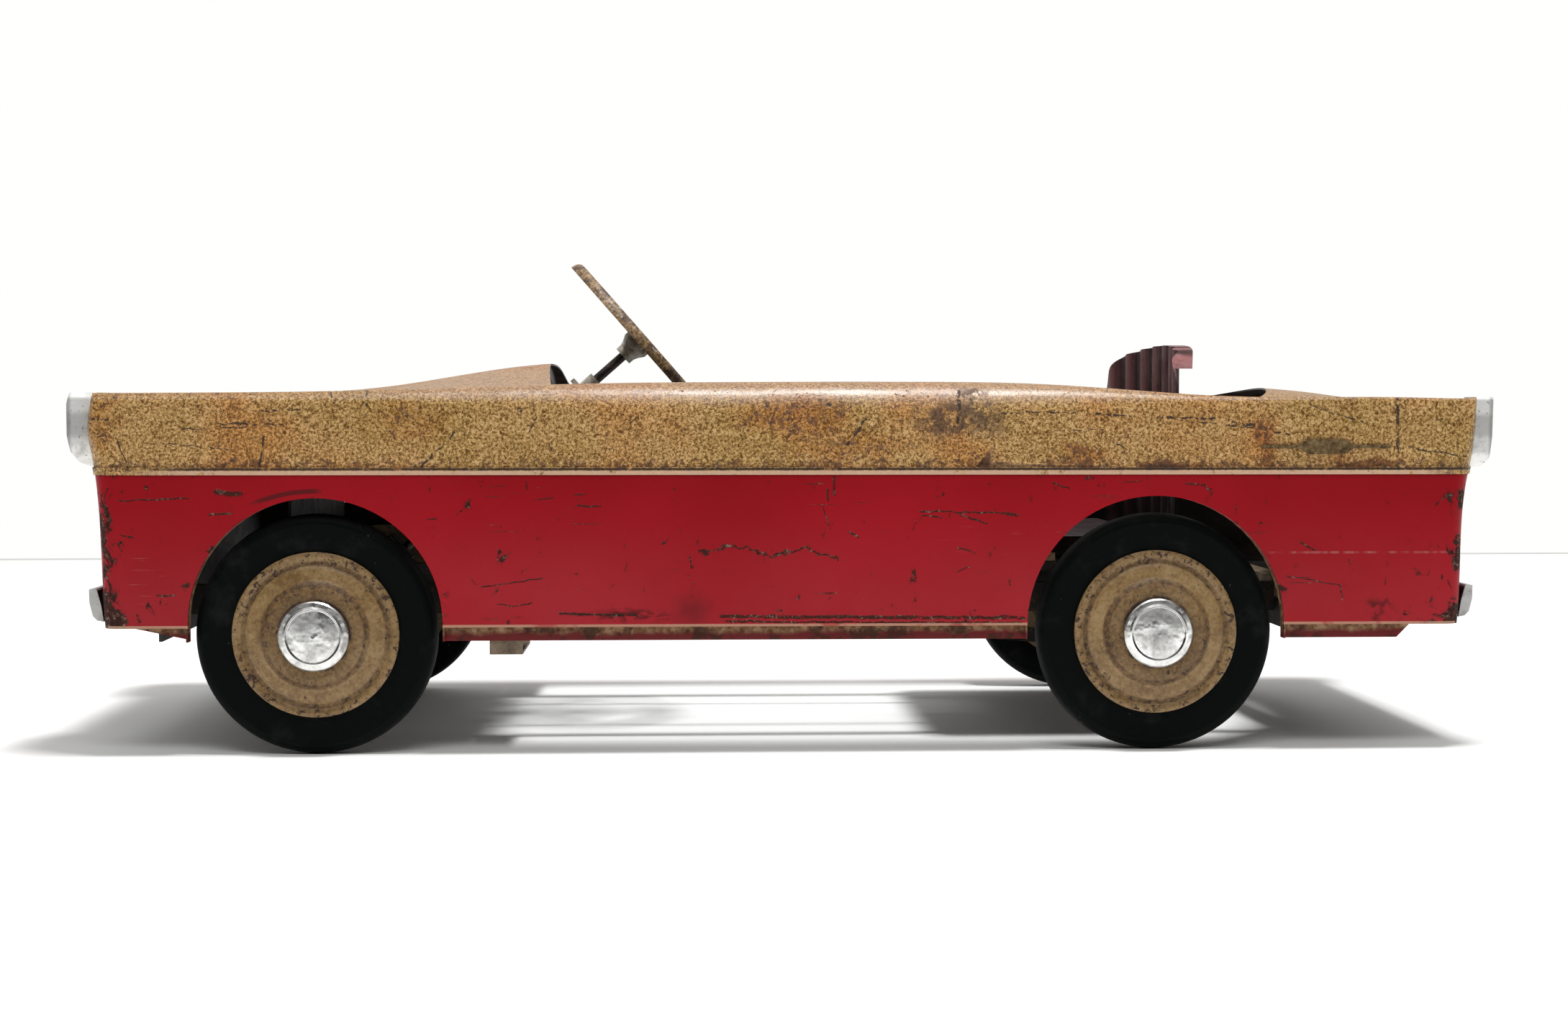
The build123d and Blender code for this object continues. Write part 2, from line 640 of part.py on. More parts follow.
def knuckle(side):
    """Sleeve on the kingpin with the stub axle and the steering arm."""
    x, y = FRONT_AXLE_X, side * KINGPIN_Y
    body = bar((x, y, BEAM_FOOT_Z + 4.6), (x, y, RAIL_TOP - 0.8), 17)
    stub = bar((x, y, AXLE_Z), (x, side * STUB_END_Y, AXLE_Z), AXLE_DIAMETER)
    collar = bar((x, y, AXLE_Z), (x, side * 173, AXLE_Z), 15)
    arm = block(x, x + KNUCKLE_ARM, y - 7, y + 7, 83.5, 87)
    eye = bar((x + KNUCKLE_ARM, y, 83.5), (x + KNUCKLE_ARM, y, 87), 14)
    pin = bar((x + KNUCKLE_ARM, y, 87), (x + KNUCKLE_ARM, y, 96), 6)
    bore = KINGPIN_DIAMETER / 2 + RUNNING_GAP
    return body + stub + collar + arm + eye + pin - Pos(x, y, 100) * Cylinder(bore, 120)


def tie_rod():
    """Flat link between the steering arms, widened round the column's crank."""
    x = FRONT_AXLE_X + KNUCKLE_ARM
    z0, z1 = TIE_ROD_Z, TIE_ROD_Z + TIE_ROD_THICKNESS
    link = block(x - 7, x + 7, -KINGPIN_Y, KINGPIN_Y, z0, z1)
    slot_x = (column_foot() + COLUMN_SIDE * CRANK_DROP).X
    link += block(slot_x - 17, slot_x + 15, -13, 13, z0, z1)
    for _, side in SIDES:
        link += bar((x, side * KINGPIN_Y, z0), (x, side * KINGPIN_Y, z1), 14)
        link -= Pos(x, side * KINGPIN_Y, z0) * Cylinder(3 + RUNNING_GAP, 20)
    slot = Pos(slot_x, 0, z0) * extrude(RectangleRounded(21, 14, 5), 10, both=True)
    return link - slot


# ---------------------------------------------------------------- wheels
def wheel_tyre():
    """Solid rubber tyre with a gently rounded tread."""
    half = TYRE_WIDTH / 2
    inner = TYRE_BORE_RADIUS
    wire = Wire([
        Line((inner, -half + 1.8), (TYRE_RADIUS - 8, -half)),
        ThreePointArc((TYRE_RADIUS - 8, -half), (TYRE_RADIUS - 2.6, -half + 2.4), (TYRE_RADIUS - 0.6, -4)),
        ThreePointArc((TYRE_RADIUS - 0.6, -4), (TYRE_RADIUS, 0), (TYRE_RADIUS - 0.6, 4)),
        ThreePointArc((TYRE_RADIUS - 0.6, 4), (TYRE_RADIUS - 2.6, half - 2.4), (TYRE_RADIUS - 8, half)),
        Line((TYRE_RADIUS - 8, half), (inner, half - 1.8)),
        Line((inner, half - 1.8), (inner, -half + 1.8)),
    ])
    return revolve(make_face(wire), Axis.Y)


# Outer face of the wheel pressing: radius, distance outwards from the tyre's middle plane.
DISC_FACE = (
    (65.2, 12.0), (63.6, 12.8), (60.5, 12.6), (57.0, 10.9), (53.5, 12.6), (48.0, 14.2),
    (44.0, 14.6), (41.0, 16.8), (37.0, 18.7), (30.0, 19.1), (8.0, 19.2),
)
DISC_THICKNESS = 1.4


def wheel_disc():
    """Outer and inner pressings welded into one, clamping the tyre's bead."""
    back = [(radius, out - DISC_THICKNESS) for radius, out in DISC_FACE if radius < 60]
    front_edge = Spline(*DISC_FACE)
    back_edge = Spline(*back[::-1])
    well = [
        back_edge @ 1, (60.4, 9.8), (60.4, -10.2), (44.0, -12.1), (30.0, -14.1), (8.0, -14.1),
        (8.0, -15.5), (30.0, -15.5), (44.0, -13.5), (60.6, -11.8), (65.2, -12.0), (65.4, -10.5),
        (61.8, -9.6), (61.8, 9.6), (65.4, 10.5), DISC_FACE[0],
    ]
    hub_edge = Line(DISC_FACE[-1], back[-1])
    section = make_face([front_edge, hub_edge, back_edge, *Polyline(*well).edges()])
    return revolve(section, Axis.Y)


def wheel_hub(bore):
    """Sleeve through the wheel, with a shoulder against each pressing."""
    half = HUB_DIAMETER / 2
    section = [(bore, -20), (half + 3, -20), (half + 3, -15.7), (half, -15.7), (half, 20), (bore, 20)]
    return turned(section)


def hubcap():
    """Bright pressed cap with a raised ring on its face."""
    wall = [(27.4, 19.6), (27.4, 23.6), (26.4, 24.7), (23.4, 25.0), (21.8, 25.8), (20.2, 25.1),
            (10, 25.7), (0, 25.9)]
    inside = [(0, 24.9), (10, 24.7), (20.2, 24.1), (21.8, 24.8), (23.4, 24.0), (25.6, 23.7),
              (26.4, 22.8), (26.4, 19.6)]
    return turned(wall + inside)


def wheel_parts(bore):
    """The four pieces of one wheel, with its outer side towards +Y."""
    return {
        "tyre": wheel_tyre(),
        "disc": wheel_disc(),
        "hub": wheel_hub(bore),
        "hubcap": hubcap(),
    }


def placed_wheel_part(piece, x, side):
    piece = piece if side > 0 else mirror(piece, Plane.XZ)
    return Pos(x, side * WHEEL_Y, AXLE_Z) * piece


# ---------------------------------------------------------------- pedals and drive
def rear_axle():
    """Axle bent into two opposite cranks, the left one up."""
    pin_half = CRANK_WEB_GAP / 2 + 3
    inner, outer = CRANK_PIN_Y - pin_half, CRANK_PIN_Y + pin_half
    up, down = AXLE_Z + CRANK_RADIUS, AXLE_Z - CRANK_RADIUS
    bends = [
        (-STUB_END_Y, AXLE_Z), (-outer - 4, AXLE_Z), (-outer, up), (-inner, up), (-inner + 4, AXLE_Z),
        (inner - 4, AXLE_Z), (inner, down), (outer, down), (outer + 4, AXLE_Z), (STUB_END_Y, AXLE_Z),
    ]
    axle = None
    for (ay, az), (by, bz) in zip(bends, bends[1:]):
        leg = bar((REAR_AXLE_X, ay, az), (REAR_AXLE_X, by, bz), AXLE_DIAMETER)
        axle = leg if axle is None else axle + leg
    for y, z in bends[1:-1]:
        axle += Pos(REAR_AXLE_X, y, z) * Sphere(AXLE_DIAMETER / 2)
    return axle


def pedal_rod(side):
    """Flat strap from a crank pin to the pedal, with the pedal's pin in its front eye."""
    crank_z = AXLE_Z - side * CRANK_RADIUS
    y0, y1 = side * (CRANK_PIN_Y - 2), side * (CRANK_PIN_Y + 2)
    length = hypot(REAR_AXLE_X - PEDAL_SHAFT_X, crank_z - PEDAL_PIN_Z)
    turn = degrees(atan2(crank_z - PEDAL_PIN_Z, REAR_AXLE_X - PEDAL_SHAFT_X))
    middle = Pos((REAR_AXLE_X + PEDAL_SHAFT_X) / 2, (crank_z + PEDAL_PIN_Z) / 2) * Rot(0, 0, turn)
    face = middle * Rectangle(length, 13)
    face += Pos(REAR_AXLE_X, crank_z) * Circle(10)
    face += Pos(PEDAL_SHAFT_X, PEDAL_PIN_Z) * Circle(8)
    face -= Pos(REAR_AXLE_X, crank_z) * Circle(AXLE_DIAMETER / 2 + RUNNING_GAP)
    pin = bar((PEDAL_SHAFT_X, side * (PEDAL_Y + 3), PEDAL_PIN_Z),
              (PEDAL_SHAFT_X, side * (CRANK_PIN_Y + 5), PEDAL_PIN_Z), 6)
    return side_prism(face, y0, y1) + pin


def pedal(side):
    """Arm hanging from the shaft with a ribbed tread plate across its foot."""
    x, y = PEDAL_SHAFT_X, side * PEDAL_Y
    sleeve = bar((x, y - 8, PEDAL_SHAFT_Z), (x, y + 8, PEDAL_SHAFT_Z), 14)
    arm = side_prism(Pos(x, 163) * SlotOverall(160, 15, rotation=90), y - 1.5, y + 1.5)
    tread_in, tread_out = side * (PEDAL_Y - 46), side * (PEDAL_Y - 1.5)
    tread = block(x + 2, x + 5, tread_in, tread_out, 108, 148)
    for rib in range(5):
        z = 112 + 8 * rib
        tread += bar((x + 5, tread_in, z), (x + 5, tread_out, z), 3)
    bore = PEDAL_SHAFT_DIAMETER / 2 + RUNNING_GAP
    hole = Pos(x, y, PEDAL_SHAFT_Z) * Rot(90, 0, 0) * Cylinder(bore, 40)
    return sleeve + arm + tread - hole


# ---------------------------------------------------------------- all nodes
def all_nodes():
    band = block(-600, 600, -250, 250, SEAM_Z, SEAM_Z + SEAM_BAND)
    body_block = body_ends(0, BODY_HALF_WIDTH)
    body_block += body_ends(-BAND_STEP, BODY_HALF_WIDTH + BAND_STEP) & band
    inside = body_solid(SHEET)
    shell = upper_body(inside)
    nodes = {
        "upper_body": shell & block(-600, TAIL_JOINT_X, -250, 250, 200, 340),
        "tail_cap": shell & block(TAIL_JOINT_X, 600, -250, 250, 200, 340),
        "nose_panel": end_panel(-1),
        "tail_panel": end_panel(1),
        "dash_panel": dash_panel(inside),
        "instrument_plate": instrument_plate(),
        "front_bumper": bumper(-1),
        "rear_bumper": bumper(1),
        "bumper_bars": bumper_bars(),
        "side_emblems": side_emblems(),
        "seat_back": seat_back(),
        "seat_pan": seat_pan(),
        "seat_brackets": seat_brackets(),
        "front_cross_plates": front_cross_plates(),
        "front_axle_beam": front_axle_beam(),
        "kingpins": kingpins(),
        "rear_cross_member": rear_cross_member(),
        "sill_brackets": sill_brackets(),
        "rear_axle_brackets": rear_axle_brackets(),
        "rear_axle_bushes": rear_axle_bushes(),
        "pedal_hangers": pedal_hangers(),
        "pedal_shaft": pedal_shaft(),
        "frame_rivets": frame_rivets(),
        "steering_wheel": steering_wheel(),
        "steering_hub": steering_hub(),
        "steering_column": steering_column(),
        "column_sleeve": column_sleeve(),
        "column_steady": column_steady(),
        "tie_rod": tie_rod(),
        "rear_axle": rear_axle(),
    }
    for name, side in SIDES:
        nodes["side_panel_" + name] = side_panel(side)
        nodes["headlight_" + name] = headlight(side, body_block)
        nodes["tail_lamp_" + name] = tail_lamp(side, body_block)
        nodes["frame_rail_" + name] = frame_rail(side)
        nodes["knuckle_" + name] = knuckle(side)
        nodes["pedal_rod_" + name] = pedal_rod(side)
        nodes["pedal_" + name] = pedal(side)
    turning = AXLE_DIAMETER / 2 + RUNNING_GAP
    fixed = AXLE_DIAMETER / 2
    corners = (
        ("front", "left", FRONT_AXLE_X, -1, turning),
        ("front", "right", FRONT_AXLE_X, 1, turning),
        ("rear", "left", REAR_AXLE_X, -1, fixed),
        ("rear", "right", REAR_AXLE_X, 1, turning),
    )
    for end, name, x, side, bore in corners:
        for piece, shape in wheel_parts(bore).items():
            nodes[f"{piece}_{end}_{name}"] = placed_wheel_part(shape, x, side)
    return nodes


os.makedirs("parts", exist_ok=True)
for node, shape in all_nodes().items():
    export_step(shape, f"parts/{node}.step")
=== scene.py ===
"""Looks, light and camera for the pedal car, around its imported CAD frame. Units are metres."""

import math

import bpy
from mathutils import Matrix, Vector


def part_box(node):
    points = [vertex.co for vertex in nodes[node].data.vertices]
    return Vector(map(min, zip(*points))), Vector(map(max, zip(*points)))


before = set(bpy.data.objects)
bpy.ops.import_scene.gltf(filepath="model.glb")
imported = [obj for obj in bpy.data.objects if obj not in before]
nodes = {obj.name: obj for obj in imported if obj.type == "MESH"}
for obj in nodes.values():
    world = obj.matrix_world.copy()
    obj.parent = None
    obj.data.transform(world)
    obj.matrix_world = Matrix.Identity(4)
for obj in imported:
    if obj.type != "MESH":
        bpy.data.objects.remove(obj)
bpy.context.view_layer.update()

SIDE_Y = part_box("side_panel_right")[1].y
SEAM_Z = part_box("side_panel_right")[1].z
FRONT_AXLE = (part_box("tyre_front_left")[0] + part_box("tyre_front_left")[1]) / 2
REAR_AXLE = (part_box("tyre_rear_left")[0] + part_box("tyre_rear_left")[1]) / 2
TYRE_R = (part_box("tyre_front_left")[1].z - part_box("tyre_front_left")[0].z) / 2
SEAT_HALF_WIDTH = 0.150
SEAT_FLUTES = 8


# ---------------------------------------------------------------- shader writing
class Shader:
    """Short calls that add nodes to one material's tree and hand back sockets."""

    def __init__(self, name, tree=None):
        if tree is None:
            self.material = bpy.data.materials.new(name)
            self.material.use_nodes = True
            tree = self.material.node_tree
            tree.nodes.clear()
        self.tree = tree
        self.place = None

    def node(self, kind, *inputs, **settings):
        made = self.tree.nodes.new(kind)
        for key, value in settings.items():
            setattr(made, key, value)
        for i, value in enumerate(inputs):
            self.put(made.inputs[i], value)
        return made

    def put(self, socket, value):
        if value is None:
            return
        if isinstance(value, bpy.types.NodeSocket):
            self.tree.links.new(value, socket)
        elif socket.type == "RGBA" and len(value) == 3:
            socket.default_value = (*value, 1)
        else:
            socket.default_value = value

    def math(self, operation, a, b=None, c=None, clamp=False):
        return self.node("ShaderNodeMath", a, b, c, operation=operation, use_clamp=clamp).outputs[0]

    def vector(self, operation, a, b=None):
        made = self.node("ShaderNodeVectorMath", a, b, operation=operation)
        return made.outputs["Value" if operation in ("LENGTH", "DISTANCE", "DOT_PRODUCT") else "Vector"]

    def at(self):
        """Position on the object, in the row frame."""
        if self.place is None:
            self.place = self.node("ShaderNodeTexCoord").outputs["Object"]
        return self.place

    def xyz(self, vector=None):
        return self.node("ShaderNodeSeparateXYZ", vector or self.at()).outputs[:]

    def join(self, x, y, z):
        return self.node("ShaderNodeCombineXYZ", x, y, z).outputs[0]

    def stretched(self, factors, vector=None):
        return self.vector("MULTIPLY", vector or self.at(), factors)

    def noise(self, scale, detail=2.0, rough=0.5, vector=None, warp=0.0):
        made = self.node("ShaderNodeTexNoise")
        for key, value in (("Vector", vector or self.at()), ("Scale", scale), ("Detail", detail),
                           ("Roughness", rough), ("Distortion", warp)):
            self.put(made.inputs[key], value)
        return made.outputs["Fac"]

    def noise_vector(self, scale, amount, detail=2.0):
        """Small offset vector that makes outlines ragged."""
        made = self.node("ShaderNodeTexNoise")
        for key, value in (("Vector", self.at()), ("Scale", scale), ("Detail", detail)):
            self.put(made.inputs[key], value)
        centred = self.vector("SUBTRACT", made.outputs["Color"], (0.5, 0.5, 0.5))
        return self.vector("MULTIPLY", centred, (amount,) * 3)

    def cells(self, scale, vector=None, feature="F1"):
        made = self.node("ShaderNodeTexVoronoi", feature=feature)
        self.put(made.inputs["Vector"], vector or self.at())
        self.put(made.inputs["Scale"], scale)
        return made.outputs["Distance"]

    def fade(self, value, start, end, low=0.0, high=1.0):
        """Smooth change from low at start to high at end."""
        made = self.node("ShaderNodeMapRange", interpolation_type="SMOOTHSTEP")
        for key, item in (("Value", value), ("From Min", start), ("From Max", end), ("To Min", low),
                          ("To Max", high)):
            self.put(made.inputs[key], item)
        return made.outputs["Result"]

    def band(self, value, low, high, soft):
        """1 between low and high, fading out over soft on both sides."""
        rise = self.fade(value, low - soft, low)
        fall = self.fade(value, high, high + soft, 1.0, 0.0)
        return self.math("MULTIPLY", rise, fall)

    def ramp(self, value, *stops):
        made = self.node("ShaderNodeValToRGB", value)
        items = made.color_ramp.elements
        while len(items) < len(stops):
            items.new(0.5)
        for item, (position, colour) in zip(items, stops):
            item.position = position
            item.color = (*colour, 1)
        return made.outputs["Color"]

    def mix(self, amount, a, b, blend="MIX"):
        made = self.node("ShaderNodeMix", data_type="RGBA", blend_type=blend)
        self.put(made.inputs["Factor"], amount)
        self.put(made.inputs[6], a)
        self.put(made.inputs[7], b)
        return made.outputs[2]

    def chain(self, operation, values):
        result = values[0]
        for value in values[1:]:
            result = self.math(operation, result, value)
        return result

    def times(self, *values):
        return self.chain("MULTIPLY", values)

    def plus(self, *values):
        return self.chain("ADD", values)

    def minus(self, a, b):
        return self.math("SUBTRACT", a, b)

    def size(self, value):
        return self.math("ABSOLUTE", value)

    def most(self, *values):
        return self.chain("MAXIMUM", values)

    def up(self, normal=None):
        """How far a normal, by default the object's own, points upwards."""
        if normal is None:
            normal = self.node("ShaderNodeTexCoord").outputs["Normal"]
        return self.vector("DOT_PRODUCT", normal, (0, 0, 1))

    def blot(self, x, z, half_x, half_z, ragged, soft=0.6):
        """Soft ragged spot on the side of the car, centred on x and z. ragged is the warped position."""
        offset = self.vector("SUBTRACT", ragged, (x, 0, z))
        sized = self.vector("MULTIPLY", offset, (1 / half_x, 0, 1 / half_z))
        return self.fade(self.vector("LENGTH", sized), 1 - soft, 1.0, 1.0, 0.0)

    def scratch(self, start, end, width, ragged):
        """Thin mark on the side of the car from one (x, z) to another."""
        a, b = Vector((start[0], 0, start[1])), Vector((end[0], 0, end[1]))
        run = b - a
        flat = self.vector("MULTIPLY", ragged, (1, 0, 1))
        offset = self.vector("SUBTRACT", flat, tuple(a))
        along = self.vector("DOT_PRODUCT", offset, tuple(run / run.length_squared))
        share = self.math("MAXIMUM", self.math("MINIMUM", along, 1.0), 0.0)
        nearest = self.node("ShaderNodeVectorMath", tuple(run), operation="SCALE")
        self.put(nearest.inputs["Scale"], share)
        gap = self.vector("DISTANCE", offset, nearest.outputs[0])
        return self.fade(gap, width * 0.35, width, 1.0, 0.0)

    def bump(self, height, distance, strength=1.0, normal=None):
        made = self.node("ShaderNodeBump")
        for key, value in (("Height", height), ("Distance", distance), ("Strength", strength),
                           ("Normal", normal)):
            self.put(made.inputs[key], value)
        return made.outputs["Normal"]

    def steady_normal(self):
        """Smooth normal, replaced by the face's own where the two disagree by much."""
        facts = self.node("ShaderNodeNewGeometry")
        smooth, true = facts.outputs["Normal"], facts.outputs["True Normal"]
        apart = self.fade(self.vector("DOT_PRODUCT", smooth, true), 0.985, 0.93)
        made = self.node("ShaderNodeMix", data_type="VECTOR")
        self.put(made.inputs["Factor"], apart)
        self.put(made.inputs[4], smooth)
        self.put(made.inputs[5], true)
        return self.vector("NORMALIZE", made.outputs[1])

    def surface(self, colour, rough, normal=None, **constants):
        shader = self.node("ShaderNodeBsdfPrincipled")
        self.put(shader.inputs["Base Color"], colour)
        self.put(shader.inputs["Roughness"], rough)
        self.put(shader.inputs["Normal"], normal)
        for key, value in constants.items():
            self.put(shader.inputs[key.replace("_", " ")], value)
        self.node("ShaderNodeOutputMaterial", shader.outputs[0])
        return self.material


def facing_out(s):
    """1 on body panel faces that look outwards, 0 on their inner faces."""
    normal = s.node("ShaderNodeTexCoord").outputs["Normal"]
    from_middle = s.vector("SUBTRACT", s.vector("MULTIPLY", s.at(), (0.6, 1, 1)), (0, 0, 0.14))
    outward = s.fade(s.vector("DOT_PRODUCT", normal, s.vector("NORMALIZE", from_middle)), -0.05, 0.05)
    return s.most(outward, s.fade(s.xyz(normal)[2], 0.03, 0.12))


def near_side(s, y):
    return s.fade(y, 0.0, -0.15)


def wheel_radius(s, x, z):
    """Distance from the nearest axle's middle line."""
    front = s.math("LESS_THAN", x, 0.0)
    centre = s.math("MULTIPLY_ADD", front, FRONT_AXLE.x - REAR_AXLE.x, REAR_AXLE.x)
    return s.vector("LENGTH", s.join(s.minus(x, centre), 0.0, s.minus(z, FRONT_AXLE.z)))


# ---------------------------------------------------------------- finishes
RUST_DARK = (0.035, 0.014, 0.007)
RUST_BROWN = (0.125, 0.047, 0.015)
RUST_ORANGE = (0.27, 0.105, 0.027)

# (x, z) to (x, z) and width of the larger marks in the gold paint of the near side
GOLD_MARKS = (
    ((-0.450, 0.261), (-0.395, 0.260), 0.0011), ((-0.472, 0.257), (-0.422, 0.258), 0.0007),
    ((-0.413, 0.271), (-0.381, 0.272), 0.0008), ((-0.410, 0.252), (-0.413, 0.226), 0.0014),
    ((-0.262, 0.255), (-0.275, 0.240), 0.0011), ((-0.275, 0.240), (-0.289, 0.226), 0.0012),
    ((-0.331, 0.287), (-0.330, 0.275), 0.0014), ((-0.359, 0.286), (-0.356, 0.277), 0.0010),
    ((-0.489, 0.246), (-0.434, 0.241), 0.0006), ((-0.523, 0.250), (-0.514, 0.225), 0.0008),
    ((-0.541, 0.265), (-0.531, 0.264), 0.0016), ((-0.204, 0.254), (-0.198, 0.266), 0.0009),
    ((0.047, 0.245), (0.061, 0.265), 0.0016), ((0.136, 0.287), (0.134, 0.262), 0.0020),
    ((0.169, 0.270), (0.227, 0.270), 0.0008), ((0.244, 0.269), (0.272, 0.267), 0.0013),
    ((0.293, 0.266), (0.339, 0.265), 0.0016), ((0.317, 0.263), (0.370, 0.258), 0.0008),
    ((0.353, 0.262), (0.371, 0.260), 0.0019), ((0.214, 0.256), (0.250, 0.256), 0.0006),
    ((0.388, 0.255), (0.399, 0.253), 0.0012), ((0.415, 0.276), (0.459, 0.262), 0.0006),
    ((0.253, 0.249), (0.269, 0.241), 0.0009), ((0.497, 0.242), (0.542, 0.235), 0.0009),
    ((0.512, 0.261), (0.522, 0.265), 0.0006), ((-0.212, 0.272), (-0.211, 0.272), 0.0026),
    ((-0.125, 0.262), (-0.118, 0.267), 0.0007), ((0.030, 0.276), (0.033, 0.276), 0.0020),
)
# the same for the red paint
RED_MARKS = (
    ((-0.522, 0.201), (-0.468, 0.203), 0.0009), ((-0.446, 0.208), (-0.428, 0.206), 0.0030),
    ((-0.452, 0.190), (-0.435, 0.191), 0.0012), ((-0.520, 0.174), (-0.512, 0.173), 0.0011),
    ((-0.493, 0.127), (-0.480, 0.127), 0.0011), ((-0.283, 0.187), (-0.276, 0.187), 0.0009),
    ((-0.241, 0.133), (-0.194, 0.140), 0.0008), ((-0.201, 0.201), (-0.185, 0.203), 0.0007),
    ((-0.168, 0.205), (-0.160, 0.206), 0.0008), ((-0.166, 0.197), (-0.148, 0.196), 0.0010),
    ((0.036, 0.220), (0.036, 0.205), 0.0012), ((0.031, 0.209), (0.031, 0.201), 0.0012),
    ((0.026, 0.197), (0.033, 0.178), 0.0006), ((0.048, 0.176), (0.055, 0.172), 0.0013),
    ((0.104, 0.192), (0.181, 0.190), 0.0010), ((0.106, 0.189), (0.120, 0.187), 0.0009),
    ((0.136, 0.189), (0.157, 0.182), 0.0010), ((0.134, 0.163), (0.148, 0.159), 0.0010),
    ((0.134, 0.144), (0.144, 0.148), 0.0007), ((-0.229, 0.119), (-0.216, 0.117), 0.0007),
    ((-0.216, 0.117), (-0.202, 0.120), 0.0007), ((-0.078, 0.157), (-0.077, 0.148), 0.0009),
    ((-0.053, 0.109), (0.187, 0.107), 0.0021), ((-0.049, 0.105), (0.185, 0.103), 0.0012),
    ((0.187, 0.107), (0.330, 0.104), 0.0010), ((-0.180, 0.112), (-0.120, 0.110), 0.0015),
    ((0.317, 0.214), (0.330, 0.213), 0.0012), ((0.330, 0.213), (0.336, 0.206), 0.0011),
    ((0.210, 0.214), (0.223, 0.210), 0.0009), ((0.409, 0.167), (0.420, 0.160), 0.0010),
    ((0.398, 0.140), (0.442, 0.132), 0.0007), ((0.441, 0.132), (0.443, 0.120), 0.0008),
    ((0.173, 0.189), (0.182, 0.189), 0.0010),
)


def marks_mask(s, marks, ragged):
    found = None
    for start, end, width in marks:
        one = s.scratch(start, end, width, ragged)
        found = one if found is None else s.math("MAXIMUM", found, one)
    return found


def strokes(s, density, length=9.0):
    """Fine random scratches that mostly run lengthwise."""
    lines = s.noise(1.0, 3.0, 0.65, s.stretched((length, 40, 330)), 0.35)
    where = s.noise(7.0, 2.0, 0.6)
    return s.math("MULTIPLY", s.fade(lines, 0.66, 0.70), s.fade(where, 0.62 - density, 0.70 - density))


def gold_base(s, x, mottle, clouds):
    """Mottled paint, browner in clouds, darker on the top faces as painted shade with some dust, and
    with a painted pinkish highlight along the shoulder.
    """
    paint = s.ramp(mottle, (0.38, (0.115, 0.050, 0.010)), (0.47, (0.345, 0.190, 0.058)),
                   (0.54, (0.60, 0.375, 0.150)), (0.64, (0.80, 0.55, 0.29)))
    tint = s.ramp(clouds, (0.34, (0.90, 0.91, 0.80)), (0.50, (1.0, 0.97, 0.93)),
                  (0.66, (0.98, 0.80, 0.60)))
    paint = s.mix(1.0, paint, tint, "MULTIPLY")
    specks = s.fade(s.noise(260, 4.0, 0.72, warp=1.2), 0.615, 0.655)
    paint = s.mix(s.times(specks, s.fade(s.noise(17, 3.0, 0.6), 0.34, 0.62, 0.25, 0.95)), paint,
                  (0.105, 0.042, 0.014))
    # top faces darker: painted shade that holds down the overhead light, with some dust
    upward = s.fade(s.up(), 0.15, 0.80)
    paint = s.mix(s.times(upward, 0.85), paint, (0.66, 0.60, 0.55), "MULTIPLY")
    # pale pinkish band along the rounded shoulder: painted highlight
    shoulder = s.times(upward, s.fade(x, -0.40, -0.24), s.fade(x, 0.34, 0.20))
    paint = s.mix(s.times(shoulder, 0.20), paint, (0.50, 0.32, 0.26))
    return paint


def gold_rust(s, z, near, clouds, ragged, paint):
    """Orange stains with rusty flecks. Hands back the colour and the mask of the flecks."""
    zones = s.most(s.blot(0.005, 0.266, 0.060, 0.026, ragged),
                   s.times(s.blot(0.045, 0.243, 0.065, 0.014, ragged), 0.7),
                   s.times(s.blot(-0.30, 0.262, 0.045, 0.022, ragged), 0.55),
                   s.blot(0.233, 0.236, 0.030, 0.014, ragged),
                   s.times(s.blot(0.376, 0.253, 0.010, 0.028, ragged), 0.9),
                   s.times(s.blot(-0.535, 0.262, 0.018, 0.028, ragged), 0.7),
                   s.blot(0.460, 0.232, 0.040, 0.007, ragged),
                   s.blot(0.300, 0.226, 0.030, 0.006, ragged))
    zones = s.times(zones, near)
    general = s.fade(clouds, 0.50, 0.72, 0.0, 0.6)
    low_edge = s.band(z, SEAM_Z + 0.0065, SEAM_Z + 0.009, 0.007)
    flecks = s.noise(150, 4.0, 0.7, warp=0.8)
    amount = s.plus(s.times(zones, 0.13), s.times(general, 0.10), s.times(low_edge, 0.13))
    rusty = s.fade(s.plus(flecks, amount), 0.62, 0.70)
    rust = s.ramp(s.noise(260, 3.0, 0.6), (0.36, RUST_DARK), (0.5, RUST_BROWN), (0.64, RUST_ORANGE))
    stain = s.math("MINIMUM", s.plus(s.times(zones, 0.75), s.times(general, 0.22)), 0.85)
    colour = s.mix(stain, paint, s.mix(1.0, paint, (0.82, 0.56, 0.30), "MULTIPLY"))
    colour = s.mix(s.times(rusty, 0.85), colour, rust)
    return colour, rusty


def gold_smoke(s, near, ragged):
    """Mask of the sooty patches."""
    smoke = s.times(near,
                    s.most(s.blot(0.137, 0.264, 0.046, 0.019, ragged),
                           s.blot(0.145, 0.283, 0.014, 0.010, ragged),
                           s.times(s.blot(0.300, 0.224, 0.016, 0.006, ragged), 0.8),
                           s.blot(0.530, 0.224, 0.010, 0.006, ragged)))
    return s.times(smoke, s.fade(s.noise(95, 4.0, 0.65), 0.38, 0.52))


def gold_cracks(s, x, y, z, near):
    """Mask of the dark lines: placed marks, random strokes and the joint of the tail cap."""
    wobble = s.vector("ADD", s.at(), s.noise_vector(160, 0.0045, 3.0))
    marks = s.times(marks_mask(s, GOLD_MARKS, wobble), near, s.fade(s.noise(240, 2.0), 0.40, 0.50))
    joint = s.times(s.band(x, 0.4858, 0.4872, 0.0014), s.fade(s.noise(120, 3.0, 0.7), 0.47, 0.56),
                    s.fade(z, 0.286, 0.282))
    return s.most(marks, s.times(strokes(s, 0.05), 0.8), s.times(joint, s.fade(s.size(y), 0.16, 0.2)))


